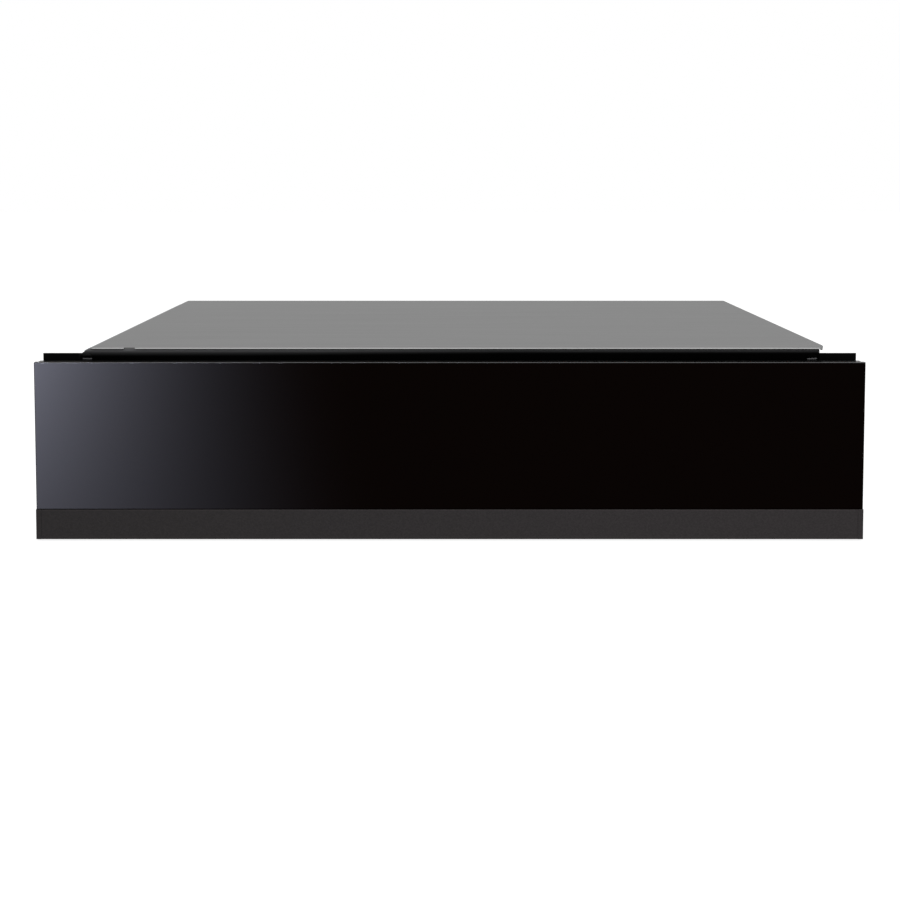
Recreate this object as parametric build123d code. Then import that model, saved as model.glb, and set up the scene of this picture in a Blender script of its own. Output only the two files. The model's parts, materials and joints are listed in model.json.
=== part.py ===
"""Built-in warming drawer, 14 cm class, with a handleless glass front.

Frame: +X to the right as seen from the front, +Y towards the back, +Z up, in millimetres.
The origin is the centre of the footprint, on the plane that the casing stands on.

The casing is a box of sheet panels that slides into a kitchen niche.  The drawer is a tub
behind an insulated front; it runs on two ball-bearing runners and opens when it is pushed.
A fan heater stands behind the tub, and its controls sit in a bay to the right of the tub.
"""

import os
from math import cos, pi, sin

from build123d import *

# ---------------------------------------------------------------- driving sizes, in mm
# Drawer front
front_width = 595.0
trim_height = 21.5
front_top_drop = 4.2
glass_thickness = 5.0
glass_side_inset = 0.35
glass_chamfer = 0.8
trim_proud = 1.0
trim_wall = 1.5
trim_edge_radius = 0.8
trim_corner_radius = 1.0
carrier_depth = 16.0
carrier_inset = 0.8
front_floor_gap = 1.0
inner_panel_play = 0.1
front_screw_columns = 4
front_screw_inset = 40.0
front_screw_low = 28.0
front_screw_high = 22.0

# Travel
push_gap = 4.5
push_travel = 3.0
travel_short_of_runner = 10.0

# Casing, inset from each end of the front
casing_inset = 27.5
casing_height = 133.0
casing_depth = 521.5
sheet = 1.0
frame_sheet = 1.5
wing_side_inset = 1.9
wing_return = 22.0
top_rail_height = 12.0
bottom_rail_height = 12.0
rail_return = 13.0
rail_nose_depth = 12.0
rail_nose_radius = 2.8
rail_end_inset = 1.6
rail_end_slant = 3.9
rail_end_drop = 3.0
wall_notch_width = 3.5
wall_notch_height = 3.0
wall_flange = 16.0
wall_front_tab = 11.0
ledge_width = 6.0
rear_inset = 3.0
rear_bar_height = 16.0
rear_bar_reach = 7.0
cover_rise = 4.0
cover_left_inset = 7.6
cover_right_overhang = 6.0
cover_edge_radius = 1.8
cover_corner_radius = 3.0
cover_cut_width = 4.6
cover_cut_depth = 21.5
cover_notch_inset = 29.4
cover_notch_width = 8.0
cover_notch_depth = 1.4
blanket_thickness = 9.0
blanket_margin = 2.0
rib_height = 0.8
rib_width = 8.0
rib_count = 6
rib_end_margin = 30.0
niche_hole_radius = 2.25
niche_hole_from_edge = 12.6
niche_hole_low = 30.0
niche_hole_rise = 74.0

# Tub
tub_bottom = 16.0
tub_top_gap = 4.0
tub_corner_radius = 8.0
tub_floor_radius = 5.0
tub_hem = 7.0
tub_slot_width = 3.5
tub_slot_height = 26.0
tub_slot_pitch = 9.0
tub_slot_count = 21
tub_slot_row_gap = 12.0
mat_thickness = 2.5
mat_margin = 2.0

# Runners, across from the wall (0) to the tub
runner_thickness = 14.0
runner_height = 45.0
runner_back_room = 62.0
runner_centre_z = 52.0
runner_sheet = 1.4
runner_front_gap = 8.0
runner_end_gap = 10.0
member_step = 3.0
member_lip = 3.0
ball_gap = 4.8
ball_clearance = 0.3
ball_pitch = 20.0
ball_count = 9
cage_sheet = 0.6
cage_margin = 6.0

# Control bay
control_bay_width = 48.0
control_recess = 16.0
control_panel_thickness = 2.0
knob_radius = 15.0
knob_height = 12.0
knob_gap = 0.5
knob_bore_depth = 7.0
knob_centre_z = 80.0
knob_dome_radius = 1.5
knob_flute_radius = 1.1
knob_flute_depth = 0.6
knob_flute_count = 24
pointer_width = 1.6
pointer_length = 9.0
pointer_depth = 0.6
pointer_inset = 2.0
spindle_radius = 3.0
spindle_depth = 4.0
spindle_play = 1.0
thermostat_size = 34.0
thermostat_depth = 24.0
thermostat_corner_radius = 3.0
thermostat_tab_offset = 10.0
thermostat_tab_rise = 4.0
switch_width = 15.0
switch_height = 21.0
switch_depth = 22.0
switch_bezel = 2.0
switch_bezel_rise = 1.5
switch_tab_offset = 3.0
switch_centre_z = 34.0
switch_pocket_depth = 8.0
rocker_travel = 12.0
rocker_axis_depth = 3.0
rocker_rise = 0.8
rocker_dish = 1.4
rocker_back = 2.0
rocker_play = 0.4
rocker_swing_play = 1.2
rocker_pin_radius = 1.0
rocker_pin = 0.8
lamp_radius = 3.5
lamp_rise = 1.5
lamp_lip = 1.0
lamp_dome_radius = 1.0
lamp_depth = 18.0
lamp_centre_z = 54.0

# Fan heater
heater_width = 240.0
heater_depth = 42.0
heater_back_room = 39.0
heater_bottom = 8.0
heater_top_gap = 5.0
heater_gap = 5.0
heater_foot_inset = 20.0
heater_foot_width = 16.0
heater_shaft_play = 1.0
grille_slot_margin = 24.0
impeller_radius = 34.0
impeller_depth = 22.0
impeller_blades = 18
impeller_blade_sheet = 1.0
impeller_blade_length = 13.0
impeller_blade_inset = 0.4
impeller_plate = 1.2
impeller_ring_width = 4.0
impeller_hub_radius = 9.0
impeller_hub_setback = 4.0
shaft_radius = 2.5
shaft_clearance = 0.05
shaft_tail = 2.0
element_radius = 3.25
element_side_gap = 32.0
element_top_gap = 10.0
element_bend = 26.0
element_leg_bend = 10.0
element_leg_offset = 40.0
element_leg_spacing = 32.0
element_tail = 14.0
connector_height = 14.0
connector_depth = 8.0
motor_width = 62.0
motor_height = 50.0
motor_depth = 17.0
motor_gap = 4.0
motor_window = 6.0
motor_bearing_radius = 11.0
motor_bearing = 6.0
motor_post_radius = 3.0
motor_post_inset = 6.0
coil_width = 26.0
coil_height = 28.0
coil_overhang = 10.0
coil_overlap = 2.0
coil_corner_radius = 1.5
cutout_radius = 8.0
cutout_height = 7.0
cutout_inset = 40.0
cutout_tab_offset = 1.6

# Push latch
latch_inset = 55.0
latch_size = 20.0
latch_length = 46.0
latch_centre_z = 36.0
latch_wall = 2.0
latch_foot_reach = 10.0
latch_web_inset = 4.0
latch_free_play = 0.3
plunger_radius = 5.0
plunger_collar_radius = 7.0
plunger_collar = 4.0
plunger_clearance = 0.1
plunger_stand_out = 6.0
plunger_tail = 10.0
plunger_tail_radius = 3.0
plunger_chamfer = 1.0
strike_size = 26.0
strike_thickness = 2.0

# Mains inlet and wiring
inlet_inset = 61.0
inlet_drop = 28.0
inlet_bore_radius = 4.0
inlet_outer_radius = 8.0
inlet_flange_radius = 12.0
inlet_flange = 2.0
inlet_length = 16.0
terminal_width = 34.0
terminal_height = 22.0
terminal_depth = 20.0
terminal_gap = 6.0
terminal_poles = 3
terminal_well_radius = 3.0
terminal_well_depth = 5.0
terminal_foot_inset = 4.0
tab_length = 8.0
tab_width = 6.0
tab_thickness = 0.8
loom_radius = 3.5
loom_bend = 22.0
lead_radius = 2.0
lead_bend = 12.0
lead_spread = 6.0
sleeve_clearance = 0.3
capillary_radius = 1.0
capillary_bend = 14.0
capillary_end_bend = 6.0
capillary_lead_out = 24.0
capillary_back_gap = 30.0
bulb_radius = 3.0
bulb_length = 50.0
bulb_inset = 12.0
bulb_rise = 30.0
bulb_wall_gap = 2.0
clip_count = 3
clip_front_inset = 80.0
clip_back_inset = 60.0
clip_width = 12.0
clip_sheet = 1.2

# Fasteners
screw_head_radius = 3.5
screw_head = 1.0
screw_shank_radius = 1.6
screw_length = 5.0
screw_clearance = 0.1
side_screw_inset = 16.0
rail_screw_margin = 0.5
rear_screw_columns = 5
rear_screw_inset = 20.0
rear_screw_height = 10.0
side_screw_tip = 1.0
recess_radius = 1.2
recess_depth = 0.5
rivet_head_radius = 3.5
rivet_head = 1.0
rivet_count = 4
rivet_end_gap = 45.0
vent_slot_width = 3.5
vent_slot_length = 44.0
vent_slot_pitch = 8.0
vent_slot_count = 12

# How far a cutting shape reaches past the face that it cuts
cut_margin = 1.0

# ---------------------------------------------------------------- places that follow
overall_depth = trim_proud + glass_thickness + carrier_depth + push_gap + casing_depth
trim_front_y = -overall_depth / 2
glass_front_y = trim_front_y + trim_proud
glass_back_y = glass_front_y + glass_thickness
carrier_back_y = glass_back_y + carrier_depth
frame_front_y = carrier_back_y + push_gap
frame_back_y = frame_front_y + frame_sheet
casing_back_y = frame_front_y + casing_depth
rear_panel_back_y = casing_back_y - rear_inset
rear_panel_front_y = rear_panel_back_y - sheet
ceiling_back_y = rear_panel_front_y - rear_bar_reach

front_bottom_z = front_floor_gap
trim_top_z = front_bottom_z + trim_height
front_top_z = casing_height - front_top_drop
glass_half_width = front_width / 2 - glass_side_inset
carrier_half_width = front_width / 2 - carrier_inset

wall_outer_x = front_width / 2 - casing_inset
wall_inner_x = wall_outer_x - sheet
rail_bottom_z = casing_height - top_rail_height
ceiling_z = rail_bottom_z
overall_height = casing_height + cover_rise
cover_left_x = cover_left_inset - wall_outer_x
cover_right_x = wall_outer_x + cover_right_overhang
cover_notch_x = cover_left_x + cover_notch_inset

partition_left_x = wall_inner_x - control_bay_width
partition_right_x = partition_left_x + sheet
tub_left_x = -wall_inner_x + runner_thickness
tub_right_x = partition_left_x - runner_thickness
tub_centre_x = (tub_left_x + tub_right_x) / 2
tub_front_y = carrier_back_y
heater_back_y = casing_back_y - heater_back_room
heater_front_y = heater_back_y - heater_depth
tub_back_y = heater_front_y - heater_gap - tub_hem
tub_floor_z = tub_bottom + sheet
tub_top = ceiling_z - tub_top_gap

runner_front_y = frame_back_y + runner_front_gap
runner_back_y = casing_back_y - runner_back_room
drawer_travel = runner_back_y - runner_front_y - travel_short_of_runner
partition_back_y = runner_back_y + runner_end_gap

bay_centre_x = (partition_right_x + wall_inner_x) / 2
control_front_y = frame_front_y + control_recess
control_back_y = control_front_y + control_panel_thickness
rocker_axis_y = control_front_y + rocker_axis_depth
knob_back_y = control_front_y - knob_gap
knob_front_y = knob_back_y - knob_height
spindle_front_y = knob_back_y - knob_bore_depth

heater_top = ceiling_z - heater_top_gap
heater_centre_z = (heater_bottom + heater_top) / 2
grille_slot_height = heater_top - heater_bottom - 2 * grille_slot_margin
heater_left_x = tub_centre_x - heater_width / 2
heater_right_x = tub_centre_x + heater_width / 2
fan_back_y = heater_back_y - sheet - motor_gap
fan_front_y = fan_back_y - impeller_depth
motor_front_y = heater_back_y + motor_gap
motor_back_y = motor_front_y + motor_depth
element_y = (heater_front_y + heater_back_y) / 2
element_bottom_z = heater_bottom + element_top_gap
element_top_z = heater_top - element_top_gap
element_left_x = heater_left_x + element_side_gap
element_right_x = heater_right_x - element_side_gap
element_leg_x = (
    element_left_x + element_leg_offset,
    element_left_x + element_leg_offset + element_leg_spacing,
)
element_end_y = heater_back_y + element_tail
lead_y = element_end_y - connector_depth / 2
cutout_x = heater_right_x - cutout_inset
bulb_y = heater_back_y - sheet - bulb_radius - bulb_wall_gap
bulb_z = heater_centre_z + bulb_rise
capillary_run_y = casing_back_y - capillary_back_gap

latch_x = tub_left_x + latch_inset
strike_back_y = tub_back_y + strike_thickness
plunger_tip_y = strike_back_y + push_travel + latch_free_play
latch_front_y = plunger_tip_y + plunger_stand_out
latch_back_y = latch_front_y + latch_length

inlet_x = partition_left_x - inlet_inset
inlet_z = heater_centre_z - inlet_drop
inlet_back_y = rear_panel_back_y + inlet_flange
inlet_front_y = inlet_back_y - inlet_length
terminal_back_y = inlet_front_y - terminal_gap
terminal_front_y = terminal_back_y - terminal_depth
terminal_mid_y = (terminal_front_y + terminal_back_y) / 2
loom_z = switch_centre_z


# ---------------------------------------------------------------- helpers
def block(x, y, z):
    """A box between two corners, given as (low, high) along each axis."""
    size = [high - low for low, high in (x, y, z)]
    centre = [(high + low) / 2 for low, high in (x, y, z)]
    return Pos(*centre) * Box(*size)


def rod_y(radius, x, z, y):
    """A round bar along Y from y[0] to y[1]."""
    bar = Rot(90, 0, 0) * Cylinder(radius, y[1] - y[0])
    return Pos(x, (y[0] + y[1]) / 2, z) * bar


def rod_x(radius, y, z, x):
    """A round bar along X from x[0] to x[1]."""
    bar = Rot(0, 90, 0) * Cylinder(radius, x[1] - x[0])
    return Pos((x[0] + x[1]) / 2, y, z) * bar


def rod_z(radius, x, y, z):
    """A round bar along Z from z[0] to z[1]."""
    return Pos(x, y, (z[0] + z[1]) / 2) * Cylinder(radius, z[1] - z[0])


def upright_slots(places, height, width, back_y):
    """Round-ended upright slots at (x, z) places, through the sheet whose back is at back_y."""
    plane = Plane(origin=(0, back_y + cut_margin, 0), x_dir=(1, 0, 0), z_dir=(0, -1, 0))
    cut = SlotOverall(height, width, rotation=90)
    sketch = Sketch() + [Pos(x, z) * cut for x, z in places]
    return extrude(plane * sketch, amount=sheet + 2 * cut_margin)


def spread(count, low, high):
    """Evenly spaced places from low to high, both ends included."""
    step = (high - low) / (count - 1)
    return [low + step * i for i in range(count)]


def centred(count, pitch, middle=0.0):
    """Evenly pitched places about a middle."""
    return [middle + pitch * (i - (count - 1) / 2) for i in range(count)]


def group(solids):
    """Several separate solids kept together as one node."""
    return Compound(children=list(solids))


def screw_y(x, z, seat_y, way):
    """A pan-head screw along Y. way is +1 if its shank points to +Y from the seat."""
    top_y = seat_y - way * screw_head
    head_y = sorted((seat_y, top_y))
    shank_y = sorted((seat_y, seat_y + way * screw_length))
    socket_y = sorted((top_y, top_y + way * recess_depth))
    body = rod_y(screw_head_radius, x, z, head_y) + rod_y(screw_shank_radius, x, z, shank_y)
    return body - rod_y(recess_radius, x, z, socket_y)


def hole_y(x, z, seat_y, way):
    """The hole that screw_y goes through."""
    reach = screw_length + screw_clearance
    span = sorted((seat_y, seat_y + way * reach))
    return rod_y(screw_shank_radius + screw_clearance, x, z, span)


# ---------------------------------------------------------------- drawer front
front_screw_places = [
    (x, z)
    for x in spread(front_screw_columns, tub_left_x + front_screw_inset, tub_right_x - front_screw_inset)
    for z in (tub_bottom + front_screw_low, tub_top - front_screw_high)
]
front_screw_seat_y = tub_front_y + sheet


def glass_front():
    """The black glass pane, with ground edges round its face."""
    pane = block(
        (-glass_half_width, glass_half_width),
        (glass_front_y, glass_back_y),
        (trim_top_z, front_top_z),
    )
    return chamfer(pane.faces().sort_by(Axis.Y)[0].edges(), glass_chamfer)


def lower_trim_strip():
    """The metal strip under the glass: a folded profile, closed at both ends."""
    half = front_width / 2
    strip = block(
        (-half, half),
        (trim_front_y, glass_back_y),
        (front_bottom_z, trim_top_z),
    )
    strip = fillet(strip.edges().filter_by(Axis.Y), trim_corner_radius)
    strip = fillet(strip.faces().sort_by(Axis.Y)[0].edges(), trim_edge_radius)
    return strip - block(
        (-half + trim_wall, half - trim_wall),
        (trim_front_y + trim_wall, glass_back_y),
        (front_bottom_z + trim_wall, trim_top_z - trim_wall),
    )


def front_carrier():
    """The folded steel tray that carries the glass and the strip."""
    folded = block(
        (-carrier_half_width, carrier_half_width),
        (glass_back_y, carrier_back_y),
        (front_bottom_z + carrier_inset, front_top_z - carrier_inset),
    )
    return folded - carrier_inside((glass_back_y + sheet, carrier_back_y))


def carrier_inside(y, play=0.0):
    """A slab that fills the carrier between its returns."""
    half = carrier_half_width - sheet - play
    low = front_bottom_z + carrier_inset + sheet + play
    high = front_top_z - carrier_inset - sheet - play
    return block((-half, half), y, (low, high))


def front_insulation():
    """The insulating board inside the front."""
    board = carrier_inside((glass_back_y + sheet, carrier_back_y - sheet))
    for x, z in front_screw_places:
        board -= hole_y(x, z, front_screw_seat_y, -1)
    return board


def front_inner_panel():
    """The stainless sheet that closes the front on the tub's side."""
    panel = carrier_inside((carrier_back_y - sheet, carrier_back_y), play=inner_panel_play)
    for x, z in front_screw_places:
        panel -= hole_y(x, z, front_screw_seat_y, -1)
    return panel


def front_fixing_screws():
    """Screws through the tub's front wall into the front."""
    return group(screw_y(x, z, front_screw_seat_y, -1) for x, z in front_screw_places)


# ---------------------------------------------------------------- tub
def rounded_box(x, y, z, corner, floor):
    """A box with rounded upright edges and a rounded lower edge."""
    box = fillet(block(x, y, z).edges().filter_by(Axis.Z), corner)
    return fillet(box.faces().sort_by(Axis.Z)[0].edges(), floor)


def tub_slots():
    """Two rows of air slots through the tub's back wall, behind which the heater blows."""
    rows = centred(2, tub_slot_height + tub_slot_row_gap, heater_centre_z)
    columns = centred(tub_slot_count, tub_slot_pitch, tub_centre_x)
    places = [(x, z) for x in columns for z in rows]
    return upright_slots(places, tub_slot_height, tub_slot_width, tub_back_y)


def drawer_tub():
    """The stainless tub: a deep tray with an outward hem on three sides."""
    outer = rounded_box(
        (tub_left_x, tub_right_x),
        (tub_front_y, tub_back_y),
        (tub_bottom, tub_top),
        tub_corner_radius,
        tub_floor_radius,
    )
    inner = rounded_box(
        (tub_left_x + sheet, tub_right_x - sheet),
        (tub_front_y + sheet, tub_back_y - sheet),
        (tub_floor_z, tub_top + sheet),
        tub_corner_radius - sheet,
        tub_floor_radius - sheet,
    )
    hem = block(
        (tub_left_x - tub_hem, tub_right_x + tub_hem),
        (tub_front_y, tub_back_y + tub_hem),
        (tub_top - sheet, tub_top),
    )
    rear_corners = hem.edges().filter_by(Axis.Z).sort_by(Axis.Y)[-2:]
    hem = fillet(rear_corners, tub_corner_radius)
    tub = outer + hem - inner - tub_slots()
    for x, z in front_screw_places:
        tub -= hole_y(x, z, front_screw_seat_y, -1)
    return tub


def anti_slip_mat():
    """The silicone mat that lies on the tub's floor."""
    edge = sheet + tub_floor_radius + mat_margin
    mat = block(
        (tub_left_x + edge, tub_right_x - edge),
        (tub_front_y + edge, tub_back_y - edge),
        (tub_floor_z, tub_floor_z + mat_thickness),
    )
    return fillet(mat.edges().filter_by(Axis.Z), tub_corner_radius)


def latch_strike():
    """The plate on the tub's back wall that the push latch works on."""
    half = strike_size / 2
    return block(
        (latch_x - half, latch_x + half),
        (tub_back_y, strike_back_y),
        (latch_centre_z - half, latch_centre_z + half),
    )


# ---------------------------------------------------------------- runners
# Each member is a channel nested in the one outside it, and balls run between their flanges.
outer_half = runner_height / 2
middle_half = outer_half - runner_sheet - ball_gap
inner_half = middle_half - runner_sheet - ball_gap
flange_reach = runner_thickness - member_lip
cage_web_gap = (member_step - runner_sheet - cage_sheet) / 2


def across(low, high):
    """X span of a slice of the left runner, measured from the wall that it is riveted to."""
    return (-wall_inner_x + low, -wall_inner_x + high)


def on_side(side, shape):
    """Keeps a left runner's piece on the left, or mirrors it onto the partition."""
    if side < 0:
        return shape
    shift = partition_left_x - wall_inner_x
    return Pos(shift, 0, 0) * mirror(shape, about=Plane.YZ)


def channel(web, flanges, half, y):
    """A channel along Y: a web over the span web, and two flanges over the span flanges."""
    body = block(across(*web), y, (runner_centre_z - half, runner_centre_z + half))
    low = runner_centre_z - half
    high = runner_centre_z + half
    for z in ((low, low + runner_sheet), (high - runner_sheet, high)):
        body += block(across(*flanges), y, z)
    return body


def rivet_places():
    """Where, along Y, a runner is riveted to its wall."""
    low = runner_front_y + rivet_end_gap
    high = runner_back_y - rivet_end_gap
    return spread(rivet_count, low, high)


def rivet_holes(side):
    """Round holes through a runner and its wall."""
    radius = screw_shank_radius + screw_clearance
    x = across(-sheet - cut_margin, runner_sheet + cut_margin)
    return [on_side(side, rod_x(radius, y, runner_centre_z, x)) for y in rivet_places()]


def runner_outer(side):
    """The member fixed to the casing."""
    y = (runner_front_y, runner_back_y)
    member = on_side(side, channel((0, runner_sheet), (0, flange_reach), outer_half, y))
    for hole in rivet_holes(side):
        member -= hole
    return member


def runner_middle(side):
    """The member that runs out half as far as the drawer."""
    web = (member_step, member_step + runner_sheet)
    y = (runner_front_y, runner_back_y - runner_end_gap)
    return on_side(side, channel(web, (member_step, flange_reach), middle_half, y))


def runner_inner(side):
    """The member fixed to the tub."""
    web = (runner_thickness - runner_sheet, runner_thickness)
    y = (tub_front_y + runner_front_gap, tub_back_y - runner_end_gap)
    return on_side(side, channel(web, (2 * member_step, runner_thickness), inner_half, y))


def ball_cage(side, web_low, race):
    """A strip cage with its balls. race is the height of the outer ball track from the centre."""
    ball_radius = ball_gap / 2 - ball_clearance
    length = ball_pitch * (ball_count - 1) + 2 * cage_margin
    start_y = runner_front_y + drawer_travel / 4 + cage_margin
    y = (start_y, start_y + length)
    arm = race - ball_gap / 2
    ball_x = sum(across(web_low + cage_sheet + ball_radius, flange_reach)) / 2
    web = across(web_low, web_low + cage_sheet)
    cage = block(web, y, (runner_centre_z - arm, runner_centre_z + arm))
    for z in (runner_centre_z - arm, runner_centre_z + arm):
        cage += block(across(web_low, flange_reach), y, (z - cage_sheet / 2, z + cage_sheet / 2))
        for ball_y in centred(ball_count, ball_pitch, start_y + length / 2):
            cage += Pos(ball_x, ball_y, z) * Sphere(ball_radius)
    return on_side(side, cage)


def outer_ball_cage(side):
    """The cage between the outer and the middle member."""
    return ball_cage(side, runner_sheet + cage_web_gap, outer_half - runner_sheet)


def inner_ball_cage(side):
    """The cage between the middle and the inner member."""
    return ball_cage(side, member_step + runner_sheet + cage_web_gap, middle_half - runner_sheet)


def runner_rivets():
    """Rivets that hold the outer members to the left wall and the partition."""
    head_x = across(-sheet - rivet_head, -sheet)
    shank_x = across(-sheet, runner_sheet)
    rivets = []
    for side in (-1, 1):
        for y in rivet_places():
            rivet = rod_x(rivet_head_radius, y, runner_centre_z, head_x)
            rivet += rod_x(screw_shank_radius, y, runner_centre_z, shank_x)
            rivets.append(on_side(side, rivet))
    return group(rivets)


# ---------------------------------------------------------------- casing
side_screw_places = [
    (frame_back_y + wing_return / 2, z) for z in (side_screw_inset, casing_height - side_screw_inset)
]
rear_screw_places = [
    (x, z)
    for x in spread(rear_screw_columns, -wall_inner_x + rear_screw_inset, wall_inner_x - rear_screw_inset)
    for z in (rear_screw_height, casing_height - rear_screw_height)
]
rail_screw_x = wall_inner_x - wall_front_tab / 2
rail_screw_z = casing_height - screw_head_radius - rail_screw_margin


def side_holes(side):
    """Holes for the screws that hold a wing's return to its wall."""
    x = sorted((side * (wall_inner_x - side_screw_tip), side * (wall_outer_x + frame_sheet)))
    radius = screw_shank_radius + screw_clearance
    return [rod_x(radius, y, z, x) for y, z in side_screw_places]


def base_pan():
    """The bottom sheet, with pressed ribs across it."""
    pan = block((-wall_outer_x, wall_outer_x), (frame_back_y, casing_back_y), (0, sheet))
    low = tub_front_y + rib_end_margin
    high = tub_back_y - rib_end_margin
    for y in spread(rib_count, low, high):
        rib = block(
            (tub_left_x + rib_end_margin, tub_right_x - rib_end_margin),
            (y - rib_width / 2, y + rib_width / 2),
            (0, sheet + rib_height),
        )
        groove = block(
            (tub_left_x + rib_end_margin + sheet, tub_right_x - rib_end_margin - sheet),
            (y - rib_width / 2 + sheet, y + rib_width / 2 - sheet),
            (0, rib_height),
        )
        pan = pan + rib - groove
    return pan


def side_wall(side):
    """A side panel, with flanges at its foot and head and a ledge for the ceiling."""

    def strip(reach, y, z):
        return block(sorted((side * wall_outer_x, side * (wall_outer_x - reach))), y, z)

    full_y = (frame_back_y, casing_back_y)
    inside_y = (frame_back_y, rear_panel_front_y)
    tab_y = (frame_back_y, frame_back_y + sheet)
    wall = strip(sheet, full_y, (sheet, casing_height))
    wall += strip(wall_flange, full_y, (casing_height - sheet, casing_height))
    wall += strip(ledge_width, inside_y, (ceiling_z - sheet, ceiling_z))
    wall += strip(ledge_width, inside_y, (sheet, 2 * sheet))
    wall += strip(wall_front_tab, tab_y, (ceiling_z + sheet, casing_height))
    notch_y = (frame_back_y, frame_back_y + wing_return)
    wall -= strip(wall_notch_width, notch_y, (casing_height - wall_notch_height, casing_height))
    wall -= hole_y(side * rail_screw_x, rail_screw_z, frame_front_y, 1)
    for hole in side_holes(side):
        wall -= hole
    if side < 0:
        for hole in rivet_holes(side):
            wall -= hole
    return wall


def front_wing(side):
    """The black flange that covers the niche's edge, with a return along the side wall."""
    outer = front_width / 2 - wing_side_inset
    plate = block(
        sorted((side * wall_inner_x, side * outer)),
        (frame_front_y, frame_back_y),
        (0, casing_height),
    )
    back = block(
        sorted((side * wall_outer_x, side * (wall_outer_x + frame_sheet))),
        (frame_back_y, frame_back_y + wing_return),
        (0, casing_height - wall_notch_height),
    )
    wing = plate + back
    for rise in (0, niche_hole_rise):
        wing -= rod_y(
            niche_hole_radius,
            side * (outer - niche_hole_from_edge),
            niche_hole_low + rise,
            (frame_front_y - cut_margin, frame_back_y + cut_margin),
        )
    for hole in side_holes(side):
        wing -= hole
    return wing


def front_top_rail():
    """The black rail over the drawer: a rounded nose carries the cover, a return the ceiling."""
    x = (-wall_inner_x, wall_inner_x)
    nose_z = overall_height - sheet
    rail = block(x, (frame_front_y, frame_front_y + rail_nose_depth), (rail_bottom_z, nose_z))
    front_top = rail.faces().sort_by(Axis.Y)[0].edges().sort_by(Axis.Z)[-1]
    rail = fillet(front_top, rail_nose_radius)
    rail -= block(
        x,
        (frame_back_y, frame_front_y + rail_nose_depth),
        (rail_bottom_z, nose_z - frame_sheet),
    )
    plane = Plane(
        origin=(0, frame_front_y + rail_nose_depth + cut_margin, 0), x_dir=(1, 0, 0), z_dir=(0, -1, 0)
    )
    left_x = -wall_inner_x
    corner = Polyline(
        (left_x + rail_end_inset + rail_end_slant, nose_z),
        (left_x + rail_end_inset, nose_z - rail_end_drop),
        (left_x, nose_z - rail_end_drop),
        (left_x, nose_z),
        close=True,
    )
    rail -= extrude(plane * make_face(corner), amount=rail_nose_depth + 2 * cut_margin)
    rail += block(x, (frame_front_y, frame_back_y), (rail_bottom_z - frame_sheet, rail_bottom_z))
    inner_x = wall_inner_x - ledge_width
    rail += block(
        (-inner_x, inner_x),
        (frame_back_y, frame_back_y + rail_return),
        (rail_bottom_z - frame_sheet, rail_bottom_z),
    )
    for side in (-1, 1):
        rail -= hole_y(side * rail_screw_x, rail_screw_z, frame_front_y, 1)
    return rail


def front_bottom_rail():
    """The black rail under the drawer, with a foot on the base pan."""
    x = (-wall_inner_x, wall_inner_x)
    rail = block(x, (frame_front_y, frame_back_y), (0, bottom_rail_height))
    inner_x = wall_inner_x - ledge_width
    return rail + block(
        (-inner_x, inner_x),
        (frame_back_y, frame_back_y + rail_return),
        (sheet, sheet + frame_sheet),
    )


def rail_screws():
    """The two low-head screws at the top corners, which show over the drawer's front."""
    return group(
        screw_y(side * rail_screw_x, rail_screw_z, frame_front_y, 1) for side in (-1, 1)
    )


def side_screws():
    """Screws through the wings' returns into the side walls."""
    screws = []
    for side in (-1, 1):
        for y, z in side_screw_places:
            seat = wall_outer_x + frame_sheet
            head = sorted((side * seat, side * (seat + screw_head)))
            shank = sorted((side * seat, side * (wall_inner_x - side_screw_tip)))
            socket = sorted((side * (seat + screw_head - recess_depth), side * (seat + screw_head)))
            body = rod_x(screw_head_radius, y, z, head) + rod_x(screw_shank_radius, y, z, shank)
            screws.append(body - rod_x(recess_radius, y, z, socket))
    return group(screws)


def top_cover():
    """The brushed sheet on top: it lies on the nose in front, and on skirts elsewhere."""
    outer = block(
        (cover_left_x, cover_right_x),
        (frame_front_y, casing_back_y),
        (casing_height, overall_height),
    )
    # The right front corner is cut back, clear of the frame.
    corner = Polyline(
        (cover_right_x - cover_cut_width, frame_front_y),
        (cover_right_x, frame_front_y + cover_cut_depth),
        (cover_right_x + cut_margin, frame_front_y + cover_cut_depth),
        (cover_right_x + cut_margin, frame_front_y),
        close=True,
    )
    plane = Plane(origin=(0, 0, casing_height), x_dir=(1, 0, 0), z_dir=(0, 0, 1))
    outer -= extrude(plane * make_face(corner), amount=cover_rise)
    outer = fillet(outer.edges().filter_by(Axis.Z), cover_corner_radius)
    outer = fillet(outer.faces().sort_by(Axis.Z)[-1].edges(), cover_edge_radius)
    hollow = block(
        (cover_left_x + sheet, cover_right_x - sheet),
        (frame_front_y + sheet, casing_back_y - sheet),
        (casing_height, overall_height - sheet),
    )
    hollow = fillet(hollow.edges().filter_by(Axis.Z), cover_corner_radius - sheet)
    nose_room = block(
        (cover_left_x - sheet, cover_right_x - cover_cut_width),
        (frame_front_y - sheet, frame_front_y + rail_nose_depth),
        (casing_height, overall_height - sheet),
    )
    corner_room = block(
        (cover_right_x - cover_cut_width, cover_right_x + sheet),
        (frame_front_y - sheet, frame_front_y + cover_cut_depth + cover_corner_radius),
        (casing_height, overall_height - sheet),
    )
    notch = block(
        (cover_notch_x - cover_notch_width / 2, cover_notch_x + cover_notch_width / 2),
        (frame_front_y - sheet, frame_front_y + cover_notch_depth),
        (casing_height, overall_height + sheet),
    )
    return outer - hollow - nose_room - corner_room - notch


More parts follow.
